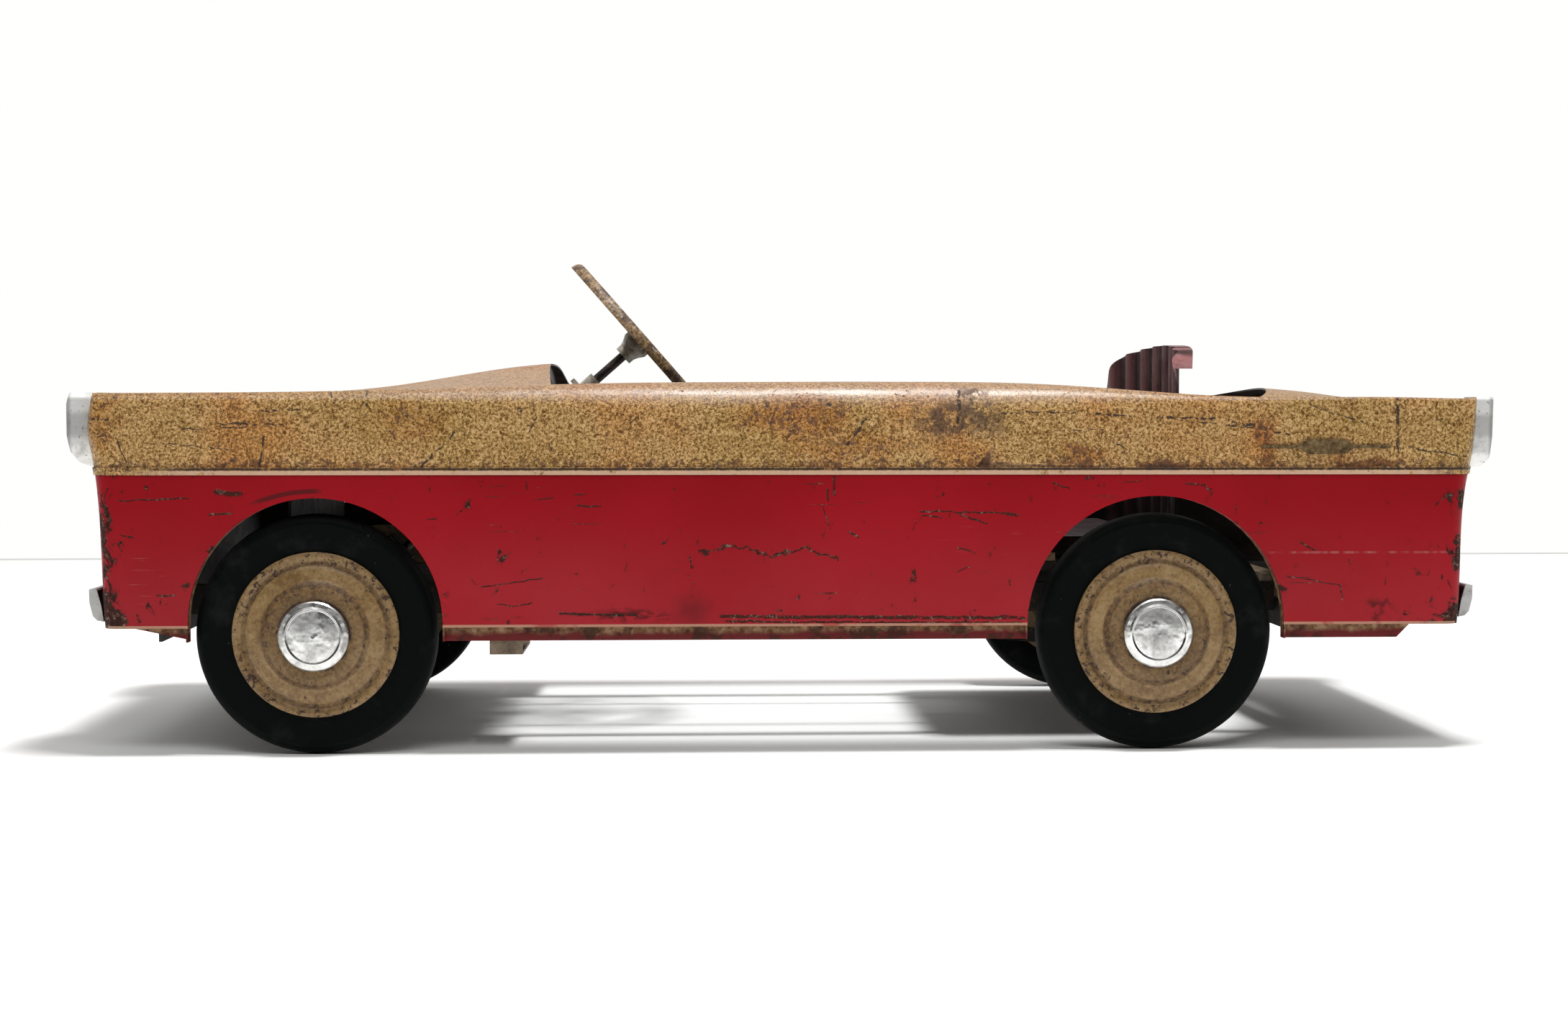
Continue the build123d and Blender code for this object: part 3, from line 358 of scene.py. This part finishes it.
def gold_seam(s, x, y, z, colour):
    """Pale worn strip along the seam, under a dark line of painted shadow at the step of the seam band.
    """
    strip = s.times(s.band(z, SEAM_Z - 0.001, SEAM_Z + 0.0034, 0.0004), s.fade(s.size(y), 0.19, 0.20))
    worn_strip = s.times(strip, s.fade(s.noise(60, 4.0, 0.7), 0.30, 0.42), s.fade(x, -0.53, -0.46),
                         s.fade(x, 0.54, 0.50))
    colour = s.mix(s.times(worn_strip, 0.85), colour, (0.72, 0.48, 0.33))
    # dark line above the strip: painted shadow at the step of the seam band
    groove = s.times(s.band(z, SEAM_Z + 0.0041, SEAM_Z + 0.0056, 0.0004), s.fade(x, -0.53, -0.46),
                     s.fade(s.noise(1.0, 3.0, 0.6, s.stretched((60, 60, 5))), 0.30, 0.42))
    colour = s.mix(s.times(groove, 0.9), colour, (0.020, 0.010, 0.007))
    return colour


def gold_paint():
    s = Shader("gold_hammer_paint")
    x, y, z = s.xyz()
    near = near_side(s, y)
    grain = s.noise(470, 2.5, 0.62, warp=0.5)
    fine = s.noise(1050, 1.5, 0.5)
    mottle = s.plus(s.times(grain, 0.66), s.times(fine, 0.34))
    clouds = s.noise(10, 3.0, 0.6)
    ragged = s.vector("ADD", s.at(), s.noise_vector(45, 0.034, 4.0))
    paint = gold_base(s, x, mottle, clouds)
    colour, rusty = gold_rust(s, z, near, clouds, ragged, paint)
    smoke = gold_smoke(s, near, ragged)
    colour = s.mix(s.times(smoke, 0.8), colour, (0.065, 0.031, 0.019))
    cracks = gold_cracks(s, x, y, z, near)
    colour = s.mix(s.times(cracks, 0.93), colour, (0.022, 0.010, 0.006))
    colour = gold_seam(s, x, y, z, colour)

    # inner faces near black: painted shade of the car's inside over rusty bare metal
    inside = s.minus(1.0, facing_out(s))
    inner_rust_and_shade = s.ramp(s.noise(30, 5.0, 0.7), (0.35, (0.008, 0.005, 0.004)), (0.55, (0.026, 0.015, 0.009)),
                 (0.75, (0.075, 0.046, 0.024)))
    colour = s.mix(inside, colour, inner_rust_and_shade)

    rough = s.plus(s.fade(clouds, 0.35, 0.7, 0.34, 0.44), s.times(s.most(rusty, smoke, cracks), 0.32))
    height = s.plus(mottle, s.times(s.most(rusty, cracks), -0.6))
    waves = s.bump(s.noise(16, 2.0, 0.45), 0.0022, 1.0, s.steady_normal())
    return s.surface(colour, rough, s.bump(height, 0.00022, 0.8, waves))


def red_base(s, z, clouds):
    """Satin red, lighter and pinker low down as a painted reflection of the floor with some dust, with
    fine dark grain.
    """
    paint = s.ramp(clouds, (0.32, (0.310, 0.0058, 0.0110)), (0.68, (0.385, 0.0070, 0.0150)))
    # lighter pinkish haze low down: painted reflection of the bright floor, with some dust
    haze = s.times(s.fade(z, 0.205, 0.105), s.fade(s.noise(9, 4.0, 0.6), 0.25, 0.75, 0.35, 1.0))
    paint = s.mix(s.times(haze, 0.10), paint, (0.46, 0.165, 0.185))
    paint = s.mix(s.times(s.fade(s.noise(600, 2.0), 0.5, 0.75), 0.10), paint, (0.16, 0.008, 0.01))
    return paint


def red_wave(s, x, z, near):
    """Mask of the long wavy crack on the flank."""
    waved = s.math("MULTIPLY_ADD", s.math("SINE", s.math("MULTIPLY", x, 115.0)), 0.0032,
                   s.math("MULTIPLY_ADD", x, -0.045, 0.1595))
    off_wave = s.size(s.minus(s.plus(z, s.times(s.minus(s.noise(190, 3.0), 0.5), 0.012)), waved))
    return s.times(s.fade(off_wave, 0.0004, 0.0019, 1.0, 0.0), s.band(x, -0.071, 0.039, 0.001),
                   s.fade(s.noise(170, 2.0), 0.30, 0.42), near)


def red_chips(s, x, z, side, arch_radius):
    """Masks of the chips at the ends and arches, and of the dark halo round them."""
    chip_noise = s.noise(85, 5.0, 0.72, s.stretched((1.0, 1.0, 0.7)), 0.6)
    front_end = s.fade(x, -0.505, -0.540)
    rear_end = s.fade(x, 0.505, 0.545)
    foot = s.fade(z, 0.128, 0.101)
    bands = s.noise(1.0, 3.0, 0.6, s.stretched((20, 20, 38)))
    ends = s.times(s.most(front_end, rear_end), s.fade(side, 0.170, 0.200),
                   s.fade(bands, 0.36, 0.60, 0.25, 1.0), s.fade(z, 0.216, 0.205))
    corner = s.times(s.most(s.fade(x, -0.48, -0.54), s.fade(x, 0.47, 0.54)), foot)
    arch = s.fade(arch_radius, 0.1125, 0.1035)
    chance = s.plus(s.times(ends, 0.215), s.times(corner, 0.17), s.times(arch, 0.075))
    chips = s.fade(s.plus(chip_noise, chance), 0.655, 0.675)
    halo = s.fade(s.plus(chip_noise, chance), 0.62, 0.655)
    return chips, halo


def red_scuffs(s, x, z, near, ragged, arch_radius):
    """Mask of the sooty scuffs near the foot and over the front arch."""
    return s.times(near,
                   s.most(s.times(s.blot(-0.125, 0.110, 0.055, 0.007, ragged, 0.9),
                                  s.fade(s.noise(1.0, 4.0, 0.7, s.stretched((90, 90, 260))), 0.44,
                                         0.54)),
                          s.times(s.blot(-0.076, 0.114, 0.022, 0.020, ragged, 1.0), 0.6),
                          s.times(s.blot(0.474, 0.113, 0.016, 0.012, ragged),
                                  s.fade(s.noise(95, 4.0, 0.7), 0.40, 0.60)),
                          s.times(s.band(arch_radius, 0.1120, 0.1145, 0.0012),
                                  s.band(x, -0.422, -0.372, 0.010), s.fade(z, 0.196, 0.202), 0.95)))


def red_rubs(s, x, z, near, ragged):
    """Mask of the pale rubbed places and of the ridge line."""
    rub = s.times(s.fade(s.noise(1.0, 4.0, 0.7, s.stretched((16, 40, 420))), 0.60, 0.72),
                  s.most(s.times(s.blot(-0.505, 0.138, 0.022, 0.028, ragged, 0.8), near),
                         s.times(s.blot(0.16, 0.170, 0.05, 0.018, ragged, 0.9), near, 0.5),
                         s.fade(s.noise(5.0, 2.0), 0.62, 0.72, 0.0, 0.35)))
    ridge = s.times(s.band(z, 0.1580, 0.1592, 0.0006), s.band(x, 0.39, 0.53, 0.01), near,
                    s.fade(s.noise(1.0, 3.0, 0.6, s.stretched((70, 70, 10))), 0.44, 0.64), 0.45)
    return s.most(rub, ridge)


def red_edges(s, z, side, arch_radius, above, colour):
    """Worn arch flanges, hem with a painted highlight along its rolled edge, and sill. Hands back the
    colour and the masks of flange and sill.
    """
    turned_in = s.fade(side, SIDE_Y - 0.0012, SIDE_Y - 0.0022)
    under = s.fade(z, 0.1015, 0.1005)
    bare_gold = s.ramp(s.noise(130, 5.0, 0.72), (0.34, (0.050, 0.022, 0.012)),
                       (0.50, (0.21, 0.115, 0.060)), (0.66, (0.38, 0.25, 0.14)))
    flange = s.times(turned_in, s.fade(arch_radius, 0.112, 0.109), s.fade(arch_radius, 0.096, 0.098))
    colour = s.mix(flange, colour,
                   s.mix(s.fade(above, 0.06, 0.10, 0.0, 0.6), bare_gold, (0.30, 0.035, 0.035)))
    # pale line along the hem: painted highlight on the rolled edge
    hem = s.times(s.band(z, 0.1008, 0.1028, 0.0006), s.fade(side, SIDE_Y - 0.004, SIDE_Y - 0.003),
                  s.fade(s.noise(1.0, 3.0, 0.6, s.stretched((40, 40, 40))), 0.32, 0.45, 0.35, 1.0))
    colour = s.mix(s.times(hem, 0.8), colour, (0.52, 0.31, 0.21))
    sill = s.mix(s.fade(s.plus(z, s.times(s.noise(60, 3.0), 0.008)), 0.1025, 0.0975), bare_gold,
                 (0.150, 0.021, 0.022))
    colour = s.mix(under, colour,
                   s.mix(s.fade(s.noise(45, 4.0, 0.7), 0.52, 0.62, 0.0, 0.8), sill,
                         (0.045, 0.020, 0.014)))
    return colour, flange, under


def red_paint():
    s = Shader("red_satin_paint")
    x, y, z = s.xyz()
    side = s.size(y)
    near = near_side(s, y)
    arch_radius = wheel_radius(s, x, z)
    above = s.minus(z, FRONT_AXLE.z)
    clouds = s.noise(5.5, 3.0, 0.55)
    ragged = s.vector("ADD", s.at(), s.noise_vector(110, 0.012, 4.0))
    wobble = s.vector("ADD", s.at(), s.noise_vector(130, 0.0035, 3.0))
    marks = s.times(marks_mask(s, RED_MARKS, wobble), near, s.fade(s.noise(300, 2.0), 0.28, 0.40))
    fine = s.times(strokes(s, 0.10, 14.0), 0.75)
    wave = red_wave(s, x, z, near)
    chips, halo = red_chips(s, x, z, side, arch_radius)
    scuffs = red_scuffs(s, x, z, near, ragged, arch_radius)

    paint = red_base(s, z, clouds)
    colour = s.mix(s.times(red_rubs(s, x, z, near, ragged), 0.55), paint, (0.60, 0.38, 0.36))
    colour = s.mix(s.times(s.most(scuffs, s.times(halo, 0.5)), 0.8), colour, (0.055, 0.010, 0.010))
    bare = s.ramp(s.noise(300, 3.0, 0.7), (0.42, (0.016, 0.009, 0.007)), (0.58, (0.055, 0.026, 0.017)),
                  (0.72, (0.30, 0.24, 0.19)))
    worn = s.most(marks, wave, fine, chips)
    colour = s.mix(s.times(worn, 0.93), colour, bare)
    colour, flange, under = red_edges(s, z, side, arch_radius, above, colour)

    # inner faces near black: painted shade of the car's inside over rusty bare metal
    inside = s.minus(1.0, facing_out(s))
    inner_rust_and_shade = s.ramp(s.noise(28, 5.0, 0.7), (0.35, (0.004, 0.003, 0.0025)), (0.55, (0.010, 0.007, 0.005)),
                 (0.75, (0.030, 0.020, 0.013)))
    colour = s.mix(s.times(inside, s.minus(1.0, flange)), colour, inner_rust_and_shade)

    rough = s.plus(s.fade(clouds, 0.3, 0.7, 0.34, 0.42),
                   s.times(s.most(worn, scuffs, flange, under), 0.30))
    height = s.minus(s.times(s.noise(700, 2.0), 0.18), worn)
    waves = s.bump(s.noise(11, 2.0, 0.4, s.stretched((0.6, 1, 1))), 0.0016, 1.0, s.steady_normal())
    return s.surface(colour, rough, s.bump(height, 0.00016, 0.9, waves), Specular_IOR_Level=0.13)


def wheel_paint():
    s = Shader("wheel_gold_paint")
    x, y, z = s.xyz()
    radius = wheel_radius(s, x, z)
    speckle = s.noise(300, 3.0, 0.65, warp=0.5)
    clouds = s.noise(34, 3.0, 0.6)
    paint = s.ramp(s.plus(s.times(speckle, 0.5), s.times(clouds, 0.5)), (0.38, (0.165, 0.088, 0.026)),
                   (0.50, (0.262, 0.160, 0.058)), (0.62, (0.355, 0.235, 0.108)))
    # darker groove, step and inner ring: painted shade in the disc's recesses, patchy, with some grime
    inner_ring = s.band(radius, 0.0290, 0.0400, 0.004)
    step = s.band(radius, 0.0395, 0.0425, 0.0015)
    groove = s.band(radius, 0.0555, 0.0575, 0.0018)
    rim = s.band(radius, 0.0600, 0.0700, 0.003)
    patch = s.noise(19, 2.0, 0.5)
    grime = s.plus(s.times(inner_ring, 0.62), s.times(step, 0.55), s.times(groove, 0.80))
    grime = s.times(s.plus(grime, s.times(rim, 0.15)), s.fade(patch, 0.30, 0.65, 0.45, 1.0))
    colour = s.mix(s.math("MINIMUM", grime, 0.9), paint,
                   s.ramp(speckle, (0.40, (0.045, 0.020, 0.007)), (0.60, (0.150, 0.075, 0.022))))
    flecks = s.noise(190, 4.0, 0.7, warp=0.6)
    chance = s.plus(s.times(rim, 0.095), s.times(groove, 0.085), s.times(inner_ring, 0.045))
    chance = s.plus(chance, s.fade(patch, 0.35, 0.7, 0.0, 0.03))
    rusty = s.fade(s.plus(flecks, chance), 0.665, 0.70)
    collar = s.times(s.fade(radius, 0.0305, 0.0280), s.fade(s.noise(60, 3.0, 0.6), 0.42, 0.55))
    colour = s.mix(s.times(s.most(rusty, collar), 0.92), colour, (0.034, 0.013, 0.009))
    # inner faces of the discs darker: painted shade of the car's inside
    inner_face_shade = s.fade(s.size(y), 0.1885, 0.1865)
    colour = s.mix(s.times(inner_face_shade, 0.6), colour, (0.045, 0.030, 0.018))
    rough = s.plus(s.fade(clouds, 0.3, 0.7, 0.40, 0.50), s.times(s.most(rusty, grime), 0.25))
    height = s.minus(s.times(speckle, 0.6), rusty)
    return s.surface(colour, rough, s.bump(height, 0.00022, 0.8, s.bump(s.noise(30, 2.0), 0.0006)))


def tyre_rubber():
    s = Shader("tyre_rubber")
    x, y, z = s.xyz()
    radius = wheel_radius(s, x, z)
    rings = s.noise(1.0, 3.0, 0.65, s.join(s.math("MULTIPLY", radius, 900.0), 0.0, s.times(y, 20.0)))
    dust = s.noise(26, 5.0, 0.7)
    tread = s.fade(radius, TYRE_R - 0.0040, TYRE_R - 0.0008)
    scuffed = s.plus(s.fade(dust, 0.52, 0.72, 0.0, 0.5),
                     s.times(tread, s.fade(dust, 0.40, 0.60, 0.25, 0.9)))
    colour = s.mix(s.math("MINIMUM", scuffed, 1.0), (0.0024, 0.0034, 0.0032), (0.017, 0.0175, 0.017))
    specks = s.fade(s.noise(210, 3.0, 0.6), 0.735, 0.76)
    colour = s.mix(s.times(specks, 0.6), colour, (0.20, 0.19, 0.17))
    cracks = s.fade(s.cells(240, s.stretched((1, 1, 1)), "DISTANCE_TO_EDGE"), 0.05, 0.0)
    rough = s.plus(s.fade(rings, 0.3, 0.7, 0.42, 0.60), s.times(scuffed, 0.15))
    height = s.minus(rings, s.times(cracks, s.fade(dust, 0.5, 0.7, 0.0, 0.5)))
    return s.surface(colour, rough, s.bump(height, 0.00022, 0.9), Specular_IOR_Level=0.05)


def aluminium():
    s = Shader("worn_aluminium")
    x, y, z = s.xyz()
    radius = wheel_radius(s, x, z)
    cloud = s.noise(60, 4.0, 0.65, warp=0.4)
    haze = s.noise(150, 3.0, 0.6)
    colour = s.ramp(cloud, (0.34, (0.42, 0.42, 0.41)), (0.48, (0.68, 0.68, 0.66)),
                    (0.62, (0.82, 0.82, 0.80)))
    pits = s.fade(s.noise(420, 3.0, 0.65), 0.66, 0.72)
    colour = s.mix(s.times(pits, 0.7), colour, (0.13, 0.12, 0.11))
    ring = s.times(s.band(radius, 0.0209, 0.0213, 0.0003), 0.8)
    colour = s.mix(ring, colour, (0.16, 0.155, 0.15))
    rough = s.fade(cloud, 0.35, 0.65, 0.42, 0.20)
    turned = s.noise(1.0, 2.0, 0.5, s.join(s.math("MULTIPLY", radius, 1400.0), 0.0, 0.0))
    fine = s.bump(s.plus(s.times(turned, 0.35), s.times(haze, 0.4)), 0.00010, 0.6,
                  s.bump(s.noise(75, 2.0, 0.5), 0.0011, 0.8))
    return s.surface(colour, rough, fine, Metallic=1.0)


def pale_aluminium():
    """Dull bright trim of the lamps and bumpers, with a painted reflection: a grey band half way up the
    lamps.
    """
    s = Shader("dull_bright_trim")
    x, y, z = s.xyz()
    uneven = s.plus(z, s.times(s.minus(s.noise(34, 3.0, 0.6), 0.5), 0.010))
    # grey band half way up the lamps: painted reflection
    band = s.band(uneven, 0.2535, 0.2660, 0.006)
    low = s.fade(uneven, 0.146, 0.128)
    cloud = s.noise(70, 4.0, 0.65, warp=0.4)
    pale = s.ramp(cloud, (0.34, (0.60, 0.60, 0.585)), (0.46, (0.88, 0.88, 0.86)),
                  (0.60, (0.96, 0.96, 0.94)))
    colour = s.mix(s.times(band, 0.62), pale, (0.40, 0.40, 0.385))
    colour = s.mix(s.times(low, s.fade(z, 0.20, 0.19), 0.5), colour, (0.17, 0.17, 0.165))
    edge = s.fade(s.size(x), 0.5615, 0.5645)
    colour = s.mix(s.times(edge, s.fade(z, 0.20, 0.21), 0.55), colour, (0.22, 0.22, 0.21))
    pits = s.fade(s.noise(380, 3.0, 0.65), 0.63, 0.70)
    colour = s.mix(s.times(pits, 0.7), colour, (0.16, 0.15, 0.135))
    rough = s.fade(cloud, 0.35, 0.65, 0.46, 0.26)
    fine = s.bump(s.noise(220, 3.0, 0.6), 0.00010, 0.6, s.bump(s.noise(60, 2.0, 0.5), 0.0010, 0.7))
    return s.surface(colour, rough, fine, Metallic=0.22)


def seat_paint():
    s = Shader("seat_burgundy_paint")
    x, y, z = s.xyz()
    streaks = s.noise(1.0, 4.0, 0.65, s.stretched((60, 190, 9)))
    blots = s.noise(42, 5.0, 0.7)
    paint = s.ramp(streaks, (0.34, (0.028, 0.006, 0.007)), (0.48, (0.080, 0.021, 0.023)),
                   (0.62, (0.160, 0.060, 0.062)), (0.76, (0.33, 0.21, 0.20)))
    crest = s.math("COSINE", s.math("MULTIPLY", y, math.pi * SEAT_FLUTES / SEAT_HALF_WIDTH))
    # flute crests lighter and grooves darker: painted highlight and painted shade of the flutes, with
    # worn paint on the crests
    paint = s.mix(s.fade(crest, 0.1, -0.9, 0.0, 0.55), paint, (0.40, 0.15, 0.145))
    paint = s.mix(s.fade(crest, 0.1, 0.9, 0.0, 0.8), paint, (0.022, 0.003, 0.003))
    colour = s.mix(s.fade(blots, 0.55, 0.72, 0.0, 0.75), paint, (0.030, 0.010, 0.008))
    worn = s.times(s.fade(z, 0.305, 0.325), s.fade(x, 0.345, 0.362))
    worn = s.most(worn, s.times(s.fade(x, 0.352, 0.366), s.fade(z, 0.29, 0.31)))
    colour = s.mix(s.times(worn, 0.8), colour,
                   s.ramp(blots, (0.35, (0.10, 0.045, 0.030)), (0.6, (0.22, 0.105, 0.085))))
    chips = s.fade(s.noise(120, 4.0, 0.7), 0.66, 0.69)
    colour = s.mix(chips, colour, RUST_BROWN)
    # seat near black low down: painted shade of the car's inside
    colour = s.mix(s.fade(s.plus(z, s.times(blots, 0.01)), 0.268, 0.240, 0.0, 0.94), colour,
                   (0.006, 0.003, 0.003))
    rough = s.fade(blots, 0.3, 0.7, 0.38, 0.62)
    return s.surface(colour, rough,
                     s.bump(s.minus(s.times(blots, 0.4), chips), 0.0003, 0.8,
                            s.bump(s.noise(25, 2.0), 0.001)), Specular_IOR_Level=0.18)


def steering_paint():
    s = Shader("worn_steering_gold")
    wear = s.noise(48, 4.0, 0.7, warp=0.5)
    mottle = s.noise(420, 3.0, 0.6)
    paint = s.ramp(mottle, (0.38, (0.115, 0.060, 0.022)), (0.52, (0.27, 0.165, 0.075)),
                   (0.66, (0.46, 0.33, 0.19)))
    colour = s.mix(s.fade(wear, 0.46, 0.58, 0.0, 0.92), paint,
                   s.ramp(mottle, (0.4, (0.028, 0.015, 0.009)), (0.62, (0.12, 0.062, 0.032))))
    colour = s.mix(s.fade(s.noise(170, 3.0), 0.64, 0.70, 0.0, 0.8), colour, (0.50, 0.43, 0.36))
    rough = s.fade(wear, 0.35, 0.6, 0.36, 0.62)
    return s.surface(colour, rough, s.bump(s.plus(s.times(mottle, 0.4), wear), 0.0003, 0.8))


def plain_steel(name, dark, middle, light, scale, metallic, low, high):
    """Old steel or painted frame iron: three colours in rusty patches."""
    s = Shader(name)
    patches = s.noise(scale, 5.0, 0.7, warp=0.5)
    grit = s.noise(scale * 9, 3.0, 0.65)
    blend = s.plus(s.times(patches, 0.7), s.times(grit, 0.3))
    colour = s.ramp(blend, (0.38, dark), (0.50, middle), (0.64, light))
    spots = s.fade(grit, 0.60, 0.68)
    colour = s.mix(s.times(spots, 0.6), colour, RUST_BROWN)
    rough = s.fade(patches, 0.3, 0.7, low, high)
    return s.surface(colour, rough, s.bump(blend, 0.0004, 0.8), Metallic=metallic)


def member_paint():
    """Dusty tan paint on the upper part of the rear member, near black below it as painted shade under
    the body.
    """
    s = Shader("rear_member_paint")
    z = s.xyz()[2]
    patches = s.noise(50, 5.0, 0.7, warp=0.5)
    tan = s.ramp(patches, (0.38, (0.075, 0.048, 0.026)), (0.50, (0.20, 0.14, 0.08)),
                 (0.64, (0.32, 0.24, 0.15)))
    black = s.ramp(patches, (0.40, (0.004, 0.003, 0.003)), (0.60, (0.020, 0.014, 0.010)))
    # near black below the member's top: painted shade under the body
    colour = s.mix(s.fade(s.plus(z, s.times(patches, 0.004)), 0.119, 0.117), tan, black)
    return s.surface(colour, s.fade(patches, 0.3, 0.7, 0.55, 0.75), s.bump(patches, 0.0004, 0.8))


def cream_plastic():
    s = Shader("aged_cream_plastic")
    grime = s.noise(70, 4.0, 0.7)
    fine = s.noise(380, 3.0, 0.6)
    colour = s.ramp(grime, (0.36, (0.115, 0.085, 0.055)), (0.48, (0.36, 0.32, 0.25)),
                    (0.62, (0.54, 0.52, 0.45)))
    colour = s.mix(s.fade(fine, 0.60, 0.70, 0.0, 0.7), colour, (0.07, 0.05, 0.035))
    return s.surface(colour, s.fade(grime, 0.3, 0.7, 0.50, 0.34),
                     s.bump(s.plus(s.times(fine, 0.3), grime), 0.0003, 0.7))


def emblem_metal():
    s = Shader("darkened_emblem_metal")
    worn = s.noise(160, 4.0, 0.7)
    colour = s.ramp(worn, (0.38, (0.070, 0.040, 0.016)), (0.52, (0.230, 0.150, 0.065)),
                    (0.66, (0.42, 0.30, 0.15)))
    return s.surface(colour, s.fade(worn, 0.3, 0.7, 0.55, 0.35), s.bump(worn, 0.0002, 0.8), Metallic=0.6)


GOLD, RED, WHEEL, RUBBER = gold_paint(), red_paint(), wheel_paint(), tyre_rubber()
ALUMINIUM, TRIM, SEAT = aluminium(), pale_aluminium(), seat_paint()
STEERING, CREAM, EMBLEM = steering_paint(), cream_plastic(), emblem_metal()
# very dark rusty iron: its colour darkened as painted shade of the car's inside
FRAME_IRON = plain_steel("shaded_rusty_frame_iron", (0.005, 0.003, 0.002), (0.014, 0.009, 0.006),
                         (0.040, 0.026, 0.016), 40, 0.0, 0.60, 0.85)
SHAFT_STEEL = plain_steel("dark_shaft_steel", (0.012, 0.009, 0.007), (0.040, 0.030, 0.022),
                          (0.115, 0.080, 0.055), 60, 0.35, 0.36, 0.62)
HUB_STEEL = plain_steel("dull_hub_steel", (0.07, 0.055, 0.045), (0.20, 0.18, 0.16), (0.34, 0.32, 0.30),
                        90, 0.8, 0.35, 0.6)
BLACK = plain_steel("worn_black_paint", (0.006, 0.006, 0.006), (0.012, 0.011, 0.011),
                    (0.035, 0.028, 0.022), 55, 0.0, 0.40, 0.60)
BRACKET = plain_steel("dusty_bracket_paint", (0.065, 0.042, 0.026), (0.16, 0.115, 0.072),
                      (0.25, 0.19, 0.13), 50, 0.0, 0.5, 0.7)

FINISHES = {"upper_body": GOLD, "tail_cap": GOLD, "dash_panel": GOLD, "steering_wheel": STEERING,
            "steering_hub": CREAM, "steering_column": SHAFT_STEEL, "column_sleeve": CREAM,
            "nose_panel": RED, "tail_panel": RED, "side_panel_left": RED, "side_panel_right": RED,
            "headlight_left": TRIM, "headlight_right": TRIM, "tail_lamp_left": TRIM,
            "tail_lamp_right": TRIM, "front_bumper": TRIM, "rear_bumper": TRIM, "bumper_bars": BLACK,
            "instrument_plate": BLACK, "side_emblems": EMBLEM, "seat_back": SEAT, "seat_pan": SEAT,
            "rear_cross_member": member_paint(), "front_cross_plates": BLACK, "sill_brackets": BRACKET,
            "pedal_left": SHAFT_STEEL, "pedal_right": SHAFT_STEEL, "rear_axle": SHAFT_STEEL,
            "pedal_shaft": SHAFT_STEEL, "kingpins": HUB_STEEL}
PREFIXES = {"tyre_": RUBBER, "disc_": WHEEL, "hub_": HUB_STEEL, "hubcap_": ALUMINIUM}
for name, thing in nodes.items():
    finish = FINISHES.get(name)
    for prefix, material in PREFIXES.items():
        if name.startswith(prefix):
            finish = material
    thing.data.materials.clear()
    thing.data.materials.append(finish or FRAME_IRON)


# ---------------------------------------------------------------- floor, light, camera
FLOOR_HALF_LENGTH = 7.0
FLOOR_FRONT_Y = -1.30           # the floor ends just ahead of the camera's view
WALL_Y = 2.015                  # foot of the back wall behind the car's middle
WALL_SLOPE = 0.02015            # the wall stands slightly turned
CAMERA_PLACE = (-0.0788, -1.917, 0.2774)
CAMERA_DOWN = 2.905             # degrees
CAMERA_RIGHT = 2.52
CAMERA_ROLL = -0.03
LENS_MM = 49.75
def studio():
    paper = Shader("white_paper")
    tone = paper.noise(1.3, 2.0, 0.5)
    x, y, z = paper.xyz()
    from_wall = paper.minus(paper.math("MULTIPLY_ADD", x, WALL_SLOPE, WALL_Y), y)
    colour = paper.ramp(tone, (0.3, (0.945, 0.945, 0.94)), (0.7, (0.965, 0.965, 0.96)))
    # darker strip along the foot of the wall: painted shade of the crease between floor and wall
    colour = paper.mix(paper.fade(from_wall, 0.050, 0.030), colour, (0.66, 0.66, 0.655))
    white = paper.surface(colour, 0.85, Specular_IOR_Level=0.2)
    mesh = bpy.data.meshes.new("studio_floor")
    half = FLOOR_HALF_LENGTH
    corners = [(-half, FLOOR_FRONT_Y, 0), (half, FLOOR_FRONT_Y, 0),
               (half, WALL_Y + WALL_SLOPE * half, 0), (-half, WALL_Y - WALL_SLOPE * half, 0)]
    mesh.from_pydata(corners, [], [(0, 1, 2, 3)])
    floor = bpy.data.objects.new("studio_floor", mesh)
    floor.data.materials.append(white)
    bpy.context.scene.collection.objects.link(floor)

    world = bpy.data.worlds.new("studio")
    bpy.context.scene.world = world
    world.use_nodes = True
    world.node_tree.nodes.clear()
    w = Shader("", world.node_tree)
    direction = w.node("ShaderNodeTexCoord").outputs["Generated"]
    x, y, z = w.xyz(direction)
    ahead = w.fade(y, -0.35, 0.45, 0.015, 0.62)
    overhead = w.fade(z, 0.25, 0.90)
    strength = w.math("MAXIMUM", ahead, w.times(overhead, 0.50))
    seen = w.node("ShaderNodeLightPath").outputs["Is Camera Ray"]
    level = w.node("ShaderNodeMix", data_type="FLOAT")
    for key, value in ((0, seen), (2, strength), (3, 1.0)):
        w.put(level.inputs[key], value)
    sky = w.node("ShaderNodeBackground", (1.0, 1.0, 0.985, 1.0), level.outputs[0])
    w.node("ShaderNodeOutputWorld", sky.outputs[0])


def lamp(name, place, target, size, power, colour=(1, 1, 1)):
    light = bpy.data.lights.new(name, "AREA")
    light.shape = "RECTANGLE"
    light.size, light.size_y = size
    light.energy = power
    light.color = colour
    made = bpy.data.objects.new(name, light)
    bpy.context.scene.collection.objects.link(made)
    made.location = place
    made.rotation_euler = (Vector(target) - Vector(place)).to_track_quat("-Z", "Y").to_euler()


def camera():
    data = bpy.data.cameras.new("camera")
    made = bpy.data.objects.new("camera", data)
    bpy.context.scene.collection.objects.link(made)
    data.lens = LENS_MM
    data.sensor_width = 36.0
    data.clip_end = 60
    made.location = CAMERA_PLACE
    turns = (90 - CAMERA_DOWN, CAMERA_ROLL, -CAMERA_RIGHT)
    made.rotation_euler = [math.radians(turn) for turn in turns]
    bpy.context.scene.camera = made


studio()
lamp("ceiling_light", (0.48, -0.42, 5.0), (0.0, 0.0, 0.0), (0.9, 0.7), 225)
lamp("front_light", (-0.3, -2.6, 4.2), (0, 0, 0.15), (3.2, 1.2), 50)
camera()
bpy.context.scene.view_settings.view_transform = "Standard"
